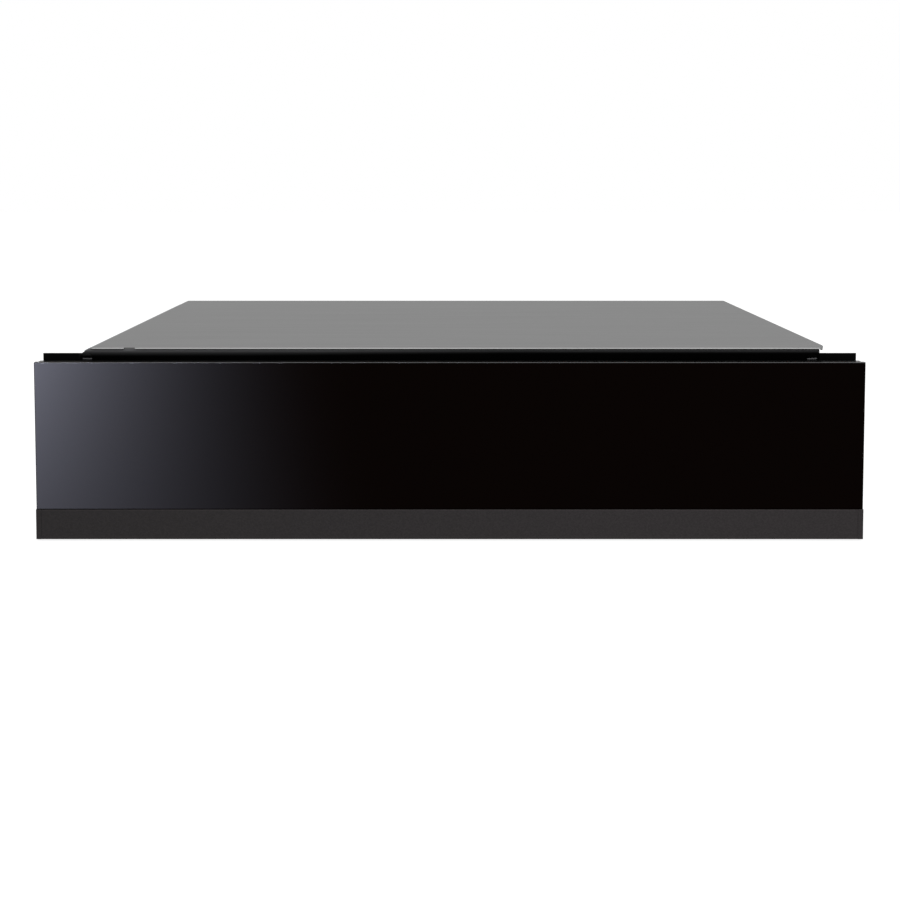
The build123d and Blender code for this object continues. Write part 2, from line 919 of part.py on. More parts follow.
def rear_panel():
    """The back sheet, with vents behind the motor and the hole for the mains inlet."""
    panel = block(
        (-wall_inner_x, wall_inner_x),
        (rear_panel_front_y, rear_panel_back_y),
        (sheet, casing_height - sheet),
    )
    vents = [(x, heater_centre_z) for x in centred(vent_slot_count, vent_slot_pitch, tub_centre_x)]
    panel -= upright_slots(vents, vent_slot_length, vent_slot_width, rear_panel_back_y)
    through = (rear_panel_front_y - cut_margin, rear_panel_back_y + cut_margin)
    panel -= rod_y(inlet_outer_radius, inlet_x, inlet_z, through)
    for x, z in rear_screw_places:
        panel -= hole_y(x, z, rear_panel_back_y, -1)
    return panel


def rear_screws():
    """Screws round the rear panel."""
    return group(screw_y(x, z, rear_panel_back_y, -1) for x, z in rear_screw_places)


def rear_frame():
    """Two angle bars, at the foot and the head of the rear panel, that its screws bite into."""
    bars = []
    x = (-wall_inner_x + ledge_width, wall_inner_x - ledge_width)
    for foot in (True, False):
        if foot:
            flat = (sheet, 2 * sheet)
            upright = (sheet, rear_bar_height)
        else:
            flat = (casing_height - 2 * sheet, casing_height - sheet)
            upright = (casing_height - rear_bar_height, casing_height - sheet)
        bar = block(x, (rear_panel_front_y - sheet, rear_panel_front_y), upright)
        bar += block(x, (rear_panel_front_y - rear_bar_reach, rear_panel_front_y), flat)
        for screw_x, z in rear_screw_places:
            bar -= hole_y(screw_x, z, rear_panel_back_y, -1)
        bars.append(bar)
    return group(bars)


def partition_wall():
    """The sheet between the drawer and the control bay, which carries the right runner."""
    wall = block(
        (partition_left_x, partition_right_x),
        (frame_back_y, partition_back_y),
        (sheet, ceiling_z - frame_sheet),
    )
    wall += block(
        (partition_right_x, partition_right_x + ledge_width),
        (control_back_y, partition_back_y),
        (sheet, 2 * sheet),
    )
    wall -= block(
        (partition_left_x, partition_right_x),
        (frame_back_y, frame_back_y + rail_return),
        (sheet, sheet + frame_sheet),
    )
    for hole in rivet_holes(1):
        wall -= hole
    return wall


def cavity_ceiling():
    """The sheet over the drawer, which keeps the heat in."""
    return block(
        (-wall_inner_x, wall_inner_x),
        (frame_back_y, ceiling_back_y),
        (ceiling_z, ceiling_z + sheet),
    )


def insulation_blanket():
    """The fibre blanket between the ceiling and the cover."""
    low = ceiling_z + sheet
    return block(
        (-wall_inner_x + blanket_margin, wall_inner_x - blanket_margin),
        (frame_front_y + rail_nose_depth + blanket_margin, ceiling_back_y - blanket_margin),
        (low, low + blanket_thickness),
    )


# ---------------------------------------------------------------- fan heater
def sleeve(points, radii, radius):
    """A round tube along straight runs joined by arcs. Prints its arcs and checks its volume."""
    path = FilletPolyline(*points, radius=radii)
    toward = Vector(*points[1]) - Vector(*points[0])
    start = Plane(origin=points[0], z_dir=toward)
    tube = sweep(start * Circle(radius), path=path)
    expected = pi * radius**2 * path.length
    print("tube of diameter", 2 * radius, "arcs", radii, "volume ratio", round(tube.volume / expected, 4))
    return tube


def heater_box():
    """The box round the fan, open to the drawer: five welded sheets on two feet."""
    x = (heater_left_x, heater_right_x)
    y = (heater_front_y, heater_back_y)
    z = (heater_bottom, heater_top)
    inner_x = (x[0] + sheet, x[1] - sheet)
    inner_z = (z[0] + sheet, z[1] - sheet)
    floor = block(x, y, (z[0], inner_z[0]))
    head = block(x, y, (inner_z[1], z[1]))
    left = block((x[0], inner_x[0]), y, inner_z)
    right = block((inner_x[1], x[1]), y, inner_z)
    right -= rod_x(
        capillary_radius + screw_clearance, bulb_y, bulb_z, (inner_x[1] - cut_margin, x[1] + cut_margin)
    )
    back = block(inner_x, (y[1] - sheet, y[1]), inner_z)
    through = (y[1] - sheet - cut_margin, y[1] + cut_margin)
    back -= rod_y(shaft_radius + heater_shaft_play, tub_centre_x, heater_centre_z, through)
    for leg_x in element_leg_x:
        back -= rod_y(element_radius + screw_clearance, leg_x, element_top_z, through)
    half_foot = heater_foot_width / 2
    feet = [
        block((foot_x - half_foot, foot_x + half_foot), y, (sheet, heater_bottom))
        for foot_x in (x[0] + heater_foot_inset, x[1] - heater_foot_inset)
    ]
    return group([floor, head, left, right, back, *feet])


def heater_grille():
    """The guard over the heater box, on the drawer's side."""
    plate = block(
        (heater_left_x, heater_right_x),
        (heater_front_y - sheet, heater_front_y),
        (heater_bottom, heater_top),
    )
    places = [(x, heater_centre_z) for x in centred(tub_slot_count, tub_slot_pitch, tub_centre_x)]
    return plate - upright_slots(places, grille_slot_height, tub_slot_width, heater_front_y)


def heating_element():
    """A tubular element bent round the fan, with both ends out through the box's back."""
    points = [
        (element_leg_x[0], element_end_y, element_top_z),
        (element_leg_x[0], element_y, element_top_z),
        (element_left_x, element_y, element_top_z),
        (element_left_x, element_y, element_bottom_z),
        (element_right_x, element_y, element_bottom_z),
        (element_right_x, element_y, element_top_z),
        (element_leg_x[1], element_y, element_top_z),
        (element_leg_x[1], element_end_y, element_top_z),
    ]
    radii = [
        element_leg_bend,
        element_leg_bend,
        element_bend,
        element_bend,
        element_bend,
        element_leg_bend,
    ]
    return sleeve(points, radii, element_radius)


def element_connector():
    """The ceramic block that joins the element's two ends to its leads."""
    half = connector_height / 2
    body = block(
        (element_leg_x[0] - half, element_leg_x[1] + half),
        (element_end_y - connector_depth, element_end_y),
        (element_top_z - half, element_top_z + half),
    )
    y = (element_end_y - connector_depth - cut_margin, element_end_y + cut_margin)
    for leg_x in element_leg_x:
        body -= rod_y(element_radius + screw_clearance, leg_x, element_top_z, y)
    return body


def fan_impeller():
    """The fan wheel: a back plate, a hub and radial blades inside a front ring."""
    x, z = tub_centre_x, heater_centre_z
    wheel = rod_y(impeller_radius, x, z, (fan_back_y - impeller_plate, fan_back_y))
    wheel += rod_y(impeller_hub_radius, x, z, (fan_front_y + impeller_hub_setback, fan_back_y))
    blade_tip = impeller_radius - impeller_blade_inset
    for i in range(impeller_blades):
        blade = block(
            (blade_tip - impeller_blade_length, blade_tip),
            (fan_front_y, fan_back_y),
            (-impeller_blade_sheet / 2, impeller_blade_sheet / 2),
        )
        wheel += Pos(x, 0, z) * Rot(0, 360 / impeller_blades * i, 0) * blade
    ring_y = (fan_front_y, fan_front_y + impeller_plate)
    ring = rod_y(impeller_radius, x, z, ring_y)
    ring -= rod_y(impeller_radius - impeller_ring_width, x, z, ring_y)
    bore = rod_y(shaft_radius + shaft_clearance, x, z, (fan_front_y, fan_back_y))
    return wheel + ring - bore


def fan_shaft():
    """The motor's shaft, from the wheel to the back bearing."""
    span = (fan_front_y + impeller_hub_setback, motor_back_y + motor_bearing + shaft_tail)
    return rod_y(shaft_radius, tub_centre_x, heater_centre_z, span)


def fan_motor():
    """A shaded-pole motor: its plate stack, coil and two bearing bridges, on the box's back."""
    x, z = tub_centre_x, heater_centre_z
    left, right = x - motor_width / 2, x + motor_width / 2
    low, high = z - motor_height / 2, z + motor_height / 2
    coil_left = right + coil_overhang - coil_width
    coil_z = (z - coil_height / 2, z + coil_height / 2)
    coil = block(
        (coil_left, right + coil_overhang),
        (motor_front_y - coil_overlap, motor_back_y + coil_overlap),
        coil_z,
    )
    coil = fillet(coil.edges().filter_by(Axis.Z), coil_corner_radius)
    motor = block((left, right), (motor_front_y, motor_back_y), (low, high))
    motor -= block((coil_left - motor_window, coil_left), (motor_front_y, motor_back_y), coil_z)
    motor += coil
    for y in ((heater_back_y, motor_front_y), (motor_back_y, motor_back_y + motor_bearing)):
        motor += rod_y(motor_bearing_radius, x, z, y)
    posts_x = (left + motor_post_inset, coil_left - motor_window - motor_post_inset)
    for post_x in posts_x:
        for post_z in (low + motor_post_inset, high - motor_post_inset):
            motor += rod_y(motor_post_radius, post_x, post_z, (heater_back_y, motor_front_y))
    bore_y = (heater_back_y - cut_margin, motor_back_y + motor_bearing + cut_margin)
    return motor - rod_y(shaft_radius + shaft_clearance, x, z, bore_y)


def safety_cutout():
    """The disc thermostat on the heater box that cuts the current if the fan fails."""
    z = heater_centre_z
    body_back_y = heater_back_y + cutout_height
    body = rod_y(cutout_radius, cutout_x, z, (heater_back_y, body_back_y))
    for tab_x in (cutout_x - cutout_tab_offset, cutout_x + cutout_tab_offset):
        body += block(
            (tab_x - tab_thickness / 2, tab_x + tab_thickness / 2),
            (body_back_y, body_back_y + tab_length),
            (z - tab_width / 2, z + tab_width / 2),
        )
    return body


# ---------------------------------------------------------------- push latch
def latch_housing():
    """The latch's case, with a bore for the plunger and a foot on the base pan."""
    half = latch_size / 2
    low = latch_centre_z - half
    y = (latch_front_y, latch_back_y)
    case = block((latch_x - half, latch_x + half), y, (low, latch_centre_z + half))
    chamber_y = (latch_front_y + latch_wall, latch_back_y - latch_wall)
    mouth_y = (latch_front_y - cut_margin, latch_front_y + latch_wall)
    case -= rod_y(plunger_collar_radius + latch_free_play, latch_x, latch_centre_z, chamber_y)
    case -= rod_y(plunger_radius + plunger_clearance, latch_x, latch_centre_z, mouth_y)
    foot_half = half + latch_foot_reach
    foot = block((latch_x - foot_half, latch_x + foot_half), y, (sheet, sheet + latch_wall))
    web_half = half - latch_web_inset
    web = block((latch_x - web_half, latch_x + web_half), y, (sheet + latch_wall, low))
    return case + foot + web


def latch_plunger():
    """The sprung plunger that the tub presses to release the drawer."""
    x, z = latch_x, latch_centre_z
    collar_y = latch_front_y + latch_wall + latch_free_play
    tail_y = collar_y + plunger_collar
    plunger = rod_y(plunger_radius, x, z, (plunger_tip_y, collar_y))
    plunger += rod_y(plunger_collar_radius, x, z, (collar_y, tail_y))
    plunger += rod_y(plunger_tail_radius, x, z, (tail_y, tail_y + plunger_tail))
    return chamfer(plunger.faces().sort_by(Axis.Y)[0].edges(), plunger_chamfer)


# ---------------------------------------------------------------- controls
def control_panel():
    """The black plate in the recess beside the tub, which holds the knob, lamp and switch."""
    plate = block(
        (partition_right_x, wall_inner_x),
        (control_front_y, control_back_y),
        (2 * sheet, ceiling_z - frame_sheet),
    )
    y = (control_front_y - cut_margin, control_back_y + cut_margin)
    plate -= rod_y(spindle_radius + spindle_play, bay_centre_x, knob_centre_z, y)
    plate -= rod_y(lamp_radius - lamp_lip, bay_centre_x, lamp_centre_z, y)
    half_w = (switch_width - switch_bezel) / 2
    half_h = (switch_height - switch_bezel) / 2
    return plate - block(
        (bay_centre_x - half_w, bay_centre_x + half_w),
        y,
        (switch_centre_z - half_h, switch_centre_z + half_h),
    )


def control_knob():
    """The temperature knob, ribbed round its side, with a pointer groove on its face."""
    x, z = bay_centre_x, knob_centre_z
    knob = rod_y(knob_radius, x, z, (knob_front_y, knob_back_y))
    knob = fillet(knob.faces().sort_by(Axis.Y)[0].edges(), knob_dome_radius)
    through = (knob_front_y - cut_margin, knob_back_y + cut_margin)
    # Each flute's centre stands outside the rim, so that it bites in by its depth.
    reach = knob_radius + knob_flute_radius - knob_flute_depth
    for i in range(knob_flute_count):
        angle = 2 * pi * i / knob_flute_count
        knob -= rod_y(knob_flute_radius, x + reach * cos(angle), z + reach * sin(angle), through)
    knob -= block(
        (x - pointer_width / 2, x + pointer_width / 2),
        (knob_front_y - cut_margin, knob_front_y + pointer_depth),
        (z + knob_radius - pointer_inset - pointer_length, z + knob_radius - pointer_inset),
    )
    bore = (spindle_front_y, knob_back_y + cut_margin)
    return knob - rod_y(spindle_radius + shaft_clearance, x, z, bore)


def thermostat_spindle():
    """The thermostat's spindle, which the knob is pushed on."""
    span = (spindle_front_y, control_back_y + spindle_depth)
    return rod_y(spindle_radius, bay_centre_x, knob_centre_z, span)


def thermostat_body():
    """The capillary thermostat behind the control panel."""
    half = thermostat_size / 2
    x, z = bay_centre_x, knob_centre_z
    back_y = control_back_y + thermostat_depth
    body = block((x - half, x + half), (control_back_y, back_y), (z - half, z + half))
    body = fillet(body.edges().filter_by(Axis.Y), thermostat_corner_radius)
    bore_y = (control_back_y - cut_margin, control_back_y + spindle_depth + spindle_play)
    body -= rod_y(spindle_radius + shaft_clearance, x, z, bore_y)
    tab_z = z - half + thermostat_tab_rise
    for tab_x in (x - thermostat_tab_offset, x + thermostat_tab_offset):
        body += block(
            (tab_x - tab_width / 2, tab_x + tab_width / 2),
            (back_y, back_y + tab_length),
            (tab_z, tab_z + tab_thickness),
        )
    return body


def thermostat_capillary():
    """The thermostat's thin tube and its bulb in the heater box."""
    x = bay_centre_x + thermostat_size / 4
    bulb_right_x = heater_right_x - bulb_inset
    drop_x = heater_right_x + capillary_lead_out
    points = [
        (x, control_back_y + thermostat_depth, bulb_z),
        (x, capillary_run_y, bulb_z),
        (drop_x, capillary_run_y, bulb_z),
        (drop_x, bulb_y, bulb_z),
        (bulb_right_x, bulb_y, bulb_z),
    ]
    tube = sleeve(points, [capillary_bend, capillary_end_bend, capillary_end_bend], capillary_radius)
    return tube + rod_x(bulb_radius, bulb_y, bulb_z, (bulb_right_x - bulb_length, bulb_right_x))


def switch_housing():
    """The rocker switch's body, its bezel and its terminals."""
    x, z = bay_centre_x, switch_centre_z
    half_w, half_h = switch_width / 2, switch_height / 2
    bezel = block(
        (x - half_w, x + half_w),
        (control_front_y - switch_bezel_rise, control_front_y),
        (z - half_h, z + half_h),
    )
    neck_w = half_w - switch_bezel / 2 - screw_clearance
    neck_h = half_h - switch_bezel / 2 - screw_clearance
    back_y = control_front_y + switch_depth
    body = block((x - neck_w, x + neck_w), (control_front_y, back_y), (z - neck_h, z + neck_h))
    pocket_w = half_w - switch_bezel
    pocket_h = half_h - switch_bezel
    pocket = block(
        (x - pocket_w, x + pocket_w),
        (control_front_y - switch_bezel_rise, control_front_y + switch_pocket_depth),
        (z - pocket_h, z + pocket_h),
    )
    housing = bezel + body - pocket
    socket_half = pocket_w - rocker_play + rocker_pin + shaft_clearance
    socket_x = (x - socket_half, x + socket_half)
    housing -= rod_x(rocker_pin_radius + shaft_clearance, rocker_axis_y, z, socket_x)
    for tab_z in (z - switch_tab_offset, z + switch_tab_offset):
        housing += block(
            (x - tab_width / 2, x + tab_width / 2),
            (back_y, back_y + tab_length),
            (tab_z - tab_thickness / 2, tab_z + tab_thickness / 2),
        )
    return housing


def rocker_button():
    """The rocker on its pin, with its lower half pressed: the switch is off."""
    x, z = bay_centre_x, switch_centre_z
    half_w = switch_width / 2 - switch_bezel - rocker_play
    half_h = switch_height / 2 - switch_bezel - rocker_swing_play
    out = rocker_axis_depth + switch_bezel_rise + rocker_rise
    # The profile is (up, out) about the axis: two flats that meet in a shallow valley.
    profile = Polyline(
        (-half_h, -rocker_back),
        (-half_h, out),
        (0, out - rocker_dish),
        (half_h, out),
        (half_h, -rocker_back),
        (0, -rocker_back - rocker_dish),
        close=True,
    )
    plane = Plane(origin=(x - half_w, rocker_axis_y, z), x_dir=(0, 0, 1), z_dir=(1, 0, 0))
    rocker = extrude(plane * make_face(profile), amount=2 * half_w)
    pin_x = (x - half_w - rocker_pin, x + half_w + rocker_pin)
    pin = rod_x(rocker_pin_radius, rocker_axis_y, z, pin_x)
    tilt = Pos(0, rocker_axis_y, z) * Rot(rocker_travel / 2, 0, 0) * Pos(0, -rocker_axis_y, -z)
    return tilt * (rocker + pin)


def pilot_lamp():
    """The domed pilot lens, with its body behind the panel."""
    x, z = bay_centre_x, lamp_centre_z
    lens = rod_y(lamp_radius, x, z, (control_front_y - lamp_rise, control_front_y))
    lens = fillet(lens.faces().sort_by(Axis.Y)[0].edges(), lamp_dome_radius)
    stem = (control_front_y, control_front_y + lamp_depth)
    return lens + rod_y(lamp_radius - lamp_lip - screw_clearance, x, z, stem)


# ---------------------------------------------------------------- mains and wiring
def mains_inlet():
    """The insulating bush that a mains cable comes in through."""
    bush = rod_y(inlet_outer_radius, inlet_x, inlet_z, (inlet_front_y, rear_panel_back_y))
    bush += rod_y(inlet_flange_radius, inlet_x, inlet_z, (rear_panel_back_y, inlet_back_y))
    bore = (inlet_front_y - cut_margin, inlet_back_y + cut_margin)
    return bush - rod_y(inlet_bore_radius, inlet_x, inlet_z, bore)


def terminal_block():
    """The three-pole mains terminal, on a foot on the base pan."""
    x = (inlet_x - terminal_width / 2, inlet_x + terminal_width / 2)
    y = (terminal_front_y, terminal_back_y)
    low, high = inlet_z - terminal_height / 2, inlet_z + terminal_height / 2
    body = block(x, y, (low, high))
    for pole_x in centred(terminal_poles, terminal_width / terminal_poles, inlet_x):
        well = (high - terminal_well_depth, high + cut_margin)
        body -= rod_z(terminal_well_radius, pole_x, terminal_mid_y, well)
    foot_y = (terminal_front_y + terminal_foot_inset, terminal_back_y - terminal_foot_inset)
    return body + block(x, foot_y, (sheet, low))


def wiring_loom():
    """The sleeved wires from the switch and thermostat to the mains terminal."""
    start_y = control_front_y + switch_depth + tab_length
    points = [
        (bay_centre_x, start_y, loom_z),
        (bay_centre_x, terminal_mid_y, loom_z),
        (inlet_x + terminal_width / 2, terminal_mid_y, loom_z),
    ]
    return sleeve(points, [loom_bend], loom_radius)


def heater_leads():
    """Three sleeved leads from the terminal: to the cutout, the motor's coil and the element."""
    left = inlet_x - terminal_width / 2
    coil_x = tub_centre_x + motor_width / 2 + coil_overhang / 2
    # The lead that goes furthest runs lowest, so that none crosses another.
    targets = [
        (cutout_x, inlet_z + lead_spread, heater_centre_z - tab_width / 2),
        (coil_x, inlet_z, heater_centre_z - coil_height / 2),
        (element_leg_x[0], inlet_z - lead_spread, element_top_z - connector_height / 2),
    ]
    leads = []
    for x, run_z, end_z in targets:
        points = [(left, lead_y, run_z), (x, lead_y, run_z), (x, lead_y, end_z)]
        leads.append(sleeve(points, [lead_bend], lead_radius))
    return group(leads)


def cable_clips():
    """Clips on the right wall that carry the loom."""
    clips = []
    bore = loom_radius + sleeve_clearance
    ring = bore + clip_sheet
    for y in spread(clip_count, control_back_y + clip_front_inset, partition_back_y - clip_back_inset):
        span = (y - clip_width / 2, y + clip_width / 2)
        clip = rod_y(ring, bay_centre_x, loom_z, span)
        clip += block((bay_centre_x, wall_inner_x), span, (loom_z + bore, loom_z + ring))
        clips.append(clip - rod_y(bore, bay_centre_x, loom_z, span))
    return group(clips)


# ---------------------------------------------------------------- the assembly
SIDES = {"left": -1, "right": 1}

PARTS = {
    "glass_front": glass_front(),
    "lower_trim_strip": lower_trim_strip(),
    "front_carrier": front_carrier(),
    "front_insulation": front_insulation(),
    "front_inner_panel": front_inner_panel(),
    "front_fixing_screws": front_fixing_screws(),
    "drawer_tub": drawer_tub(),
    "anti_slip_mat": anti_slip_mat(),
    "latch_strike": latch_strike(),
    "base_pan": base_pan(),
    "front_top_rail": front_top_rail(),
    "front_bottom_rail": front_bottom_rail(),
    "rail_screws": rail_screws(),
    "side_screws": side_screws(),
    "top_cover": top_cover(),
    "rear_panel": rear_panel(),
    "rear_frame": rear_frame(),
    "rear_screws": rear_screws(),
    "partition_wall": partition_wall(),
    "cavity_ceiling": cavity_ceiling(),
    "insulation_blanket": insulation_blanket(),
    "runner_rivets": runner_rivets(),
    "heater_box": heater_box(),
    "heater_grille": heater_grille(),
    "heating_element": heating_element(),
    "element_connector": element_connector(),
    "fan_impeller": fan_impeller(),
    "fan_shaft": fan_shaft(),
    "fan_motor": fan_motor(),
    "safety_cutout": safety_cutout(),
    "latch_housing": latch_housing(),
    "latch_plunger": latch_plunger(),
    "control_panel": control_panel(),
    "control_knob": control_knob(),
    "thermostat_spindle": thermostat_spindle(),
    "thermostat_body": thermostat_body(),
    "thermostat_capillary": thermostat_capillary(),
    "switch_housing": switch_housing(),
    "rocker_button": rocker_button(),
    "pilot_lamp": pilot_lamp(),
    "mains_inlet": mains_inlet(),
    "terminal_block": terminal_block(),
    "wiring_loom": wiring_loom(),
    "heater_leads": heater_leads(),
    "cable_clips": cable_clips(),
}
for name, side in SIDES.items():
    PARTS[f"{name}_side_wall"] = side_wall(side)
    PARTS[f"{name}_front_wing"] = front_wing(side)
    PARTS[f"{name}_runner_outer"] = runner_outer(side)
    PARTS[f"{name}_runner_middle"] = runner_middle(side)
    PARTS[f"{name}_runner_inner"] = runner_inner(side)
    PARTS[f"{name}_outer_ball_cage"] = outer_ball_cage(side)
    PARTS[f"{name}_inner_ball_cage"] = inner_ball_cage(side)

os.makedirs("parts", exist_ok=True)
for name, shape in PARTS.items():
    export_step(shape, f"parts/{name}.step")
print(len(PARTS), "parts, overall", front_width, overall_depth, overall_height)
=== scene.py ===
"""Built-in warming drawer: its dressed pieces, finishes, floor, light and camera.

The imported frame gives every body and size.  Lengths are in metres, with +X to the right
as seen from the front, +Y towards the back and +Z up.
"""

import json
import math

import bmesh
import bpy
from bpy.props import FloatProperty, FloatVectorProperty, PointerProperty
from mathutils import Matrix, Vector


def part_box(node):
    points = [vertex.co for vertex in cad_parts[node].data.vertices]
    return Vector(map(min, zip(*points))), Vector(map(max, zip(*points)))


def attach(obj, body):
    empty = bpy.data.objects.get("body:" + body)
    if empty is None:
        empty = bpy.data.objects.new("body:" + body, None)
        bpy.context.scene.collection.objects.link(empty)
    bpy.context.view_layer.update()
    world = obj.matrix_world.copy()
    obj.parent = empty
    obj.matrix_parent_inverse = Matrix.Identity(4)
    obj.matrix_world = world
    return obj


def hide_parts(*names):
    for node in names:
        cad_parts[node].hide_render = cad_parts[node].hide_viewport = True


bl_info = {
    "name": "Warming Drawer",
    "version": (1, 0, 0),
    "blender": (4, 5, 0),
    "location": "3D View > Sidebar > Warming Drawer",
    "description": "Dresses the frame of a built-in warming drawer",
    "category": "Object",
}

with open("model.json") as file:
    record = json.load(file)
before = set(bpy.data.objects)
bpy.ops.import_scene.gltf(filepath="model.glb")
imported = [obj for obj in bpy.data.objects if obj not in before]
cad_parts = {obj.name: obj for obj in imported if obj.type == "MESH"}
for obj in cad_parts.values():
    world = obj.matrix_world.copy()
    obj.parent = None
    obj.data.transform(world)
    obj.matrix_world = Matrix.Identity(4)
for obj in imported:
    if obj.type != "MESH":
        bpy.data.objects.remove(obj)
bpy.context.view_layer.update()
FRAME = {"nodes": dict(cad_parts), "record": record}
NODES = FRAME["nodes"]
MM = 0.001
# Within this distance vertices are merged.
MERGE = 1e-7
# Within this distance a vertex lies in a plane, and two vertices of a CAD mesh are the same.
NEAR = 1e-6


# ---------------------------------------------------------------- sizes and colours
def length(name, description, default):
    """A size in metres that the sidebar shows."""
    return FloatProperty(
        name=name, description=description, default=default, min=0.0, precision=4,
        subtype="DISTANCE", unit="LENGTH",
    )


def colour(name, description, default):
    """A linear colour that the sidebar shows."""
    return FloatVectorProperty(
        name=name, description=description, default=default, size=3, min=0.0, max=1.0,
        subtype="COLOR",
    )


def light(name, default, description="Power in watts"):
    """The strength of a light that the sidebar shows."""
    return FloatProperty(name=name, description=description, default=default, min=0.0)


class DrawerSizes(bpy.types.PropertyGroup):
    """Small sizes of the dressed pieces. The large ones come from the frame."""

    glass_edge: length("Glass edge", "Width of the ground edge round the glass", 0.52 * MM)
    glass_corner: length("Glass corner", "Radius of the pane's four corners", 0.4 * MM)
    trim_rounding: length("Strip rounding", "Radius of the lower strip's edges", 0.8 * MM)
    trim_cap: length("Strip end cap", "Width of the cap at each end of the strip", 4.0 * MM)
    trim_gap: length("Strip gap", "Half the gap between the strip and a cap", 0.08 * MM)
    screw_head: length("Screw head", "Radius of the screw heads", 3.5 * MM)
    screw_rise: length("Screw rise", "Height of the screw heads", 1.0 * MM)
    screw_shank: length("Screw shank", "Radius of the screws and rivets in their holes", 1.6 * MM)
    mat_corner: length("Mat corner", "Radius of the mat's four corners", 8.0 * MM)
    mat_rim: length("Mat rim", "Width of the mat's raised rim", 3.0 * MM)
    mat_margin: length("Mat margin", "Room between the mat's edge and its studs", 10.0 * MM)
    mat_stud: length("Mat stud", "Radius of the studs on the mat", 2.6 * MM)
    mat_pitch: length("Mat pitch", "Distance between the studs of a row", 15.0 * MM)
    mat_rise: length("Mat rise", "Height of the mat's studs and rim", 0.8 * MM)
    mark: length("Mark", "Height of the numbers round the knob", 3.3 * MM)
    mark_rise: length("Mark rise", "How far printed marks stand out", 0.06 * MM)
    tick_ring: length("Tick ring", "Distance from the knob's middle to its ticks", 16.2 * MM)
    number_ring: length("Number ring", "Distance from the knob's middle to its numbers", 20.6 * MM)


class DrawerColours(bpy.types.PropertyGroup):
    """Colours of the finishes."""

    glass: colour("Glass", "Black printed glass", (0.0022, 0.0004, 0.0))
    glass_edge: colour("Glass edge", "Ground edge of the glass", (0.006, 0.006, 0.007))
    trim: colour("Strip", "Lacquer of the lower strip", (0.026, 0.022, 0.023))
    cover: colour("Cover", "Brushed sheet on top", (0.25, 0.25, 0.25))
    enamel: colour("Black paint", "Paint of the wings and the tray", (0.0020, 0.0020, 0.0020))
    # Painted shade: the same black as the wings, darker because the rail sits in shade behind the
    # front.
    rail: colour("Rail paint", "Paint of the rail over the drawer", (0.0004, 0.0004, 0.0004))
    stainless: colour("Stainless", "Brushed steel of the tub", (0.47, 0.46, 0.44))
    galvanised: colour("Galvanised", "Zinc coated sheet", (0.42, 0.44, 0.45))
    aluminised: colour("Aluminised", "Aluminium coated sheet", (0.50, 0.50, 0.49))
    runner: colour("Runner", "Bright zinc plate of the runners", (0.50, 0.51, 0.52))
    bright: colour("Bright steel", "Balls, cages and shafts", (0.60, 0.60, 0.60))
    screw: colour("Screw", "Bright plate of the screws", (0.55, 0.55, 0.54))
    # Painted shade for the screws' recesses.
    recess: colour("Screw recess", "The painted-shade recesses of the screws", (0.045, 0.045, 0.045))
    slot: colour("Bare slot", "Slots of the two screws over the front", (0.17, 0.17, 0.175))
    fibre: colour("Fibre", "Bonded mineral fibre", (0.62, 0.58, 0.45))
    silicone: colour("Silicone", "The mat in the tub", (0.040, 0.040, 0.042))
    sheath: colour("Element", "Oxidised sheath of the element", (0.070, 0.065, 0.060))
    steatite: colour("Ceramic", "The element's connector", (0.75, 0.72, 0.66))
    wheel: colour("Fan wheel", "Plain aluminium", (0.58, 0.58, 0.58))
    core: colour("Motor core", "Varnished plate stack", (0.09, 0.09, 0.10))
    black: colour("Black plastic", "Panel, knob and switch", (0.015, 0.015, 0.015))
    grey: colour("Grey plastic", "The push latch", (0.25, 0.26, 0.27))
    white: colour("White plastic", "Terminal and clips", (0.70, 0.70, 0.67))
    rocker: colour("Rocker", "The rocker of the switch", (0.012, 0.012, 0.012))
    lens: colour("Lamp lens", "Amber pilot lens", (0.60, 0.12, 0.02))
    copper: colour("Copper", "The capillary tube", (0.60, 0.28, 0.16))
    loom: colour("Loom sleeve", "Sleeve of the wiring loom", (0.020, 0.020, 0.020))
    print: colour("Print", "Marks on the panel and the rocker", (0.62, 0.62, 0.60))
    lead: colour("Lead sleeve", "Glass fibre sleeve of the leads", (0.66, 0.62, 0.52))


class DrawerStage(bpy.types.PropertyGroup):
    """The camera and the lights."""

    camera_place: FloatVectorProperty(
        name="Camera", description="Where the camera stands",
        default=(-0.0016, -1.6178, 0.2613), size=3, subtype="XYZ", unit="LENGTH",
    )
    camera_pitch: FloatProperty(
        name="Pitch", description="How far the camera looks down",
        default=math.radians(5.014), subtype="ANGLE", unit="ROTATION",
    )
    lens: FloatProperty(
        name="Lens", description="Focal length in millimetres", default=75.695, min=1.0,
    )
    top_light: light("Top light", 22.0)
    left_light: light("Left light", 5.0)
    right_light: light("Right light", 11.0)
    left_glow: light("Left glow", 180.0, "Brightness that the glass mirrors on its left")


# ---------------------------------------------------------------- shader nodes
def feed(tree, target, value):
    """Links a node's output to a socket, or sets the socket to a value."""
    if isinstance(value, bpy.types.NodeSocket):
        tree.links.new(value, target)
    else:
        target.default_value = value


def add_node(tree, kind, inputs=None, **settings):
    """Adds a node, changes its settings, and then feeds its inputs, by name or by index."""
    made = tree.nodes.new(kind)
    for key, value in settings.items():
        setattr(made, key, value)
    for socket, value in (inputs or {}).items():
        feed(tree, made.inputs[socket], value)
    return made


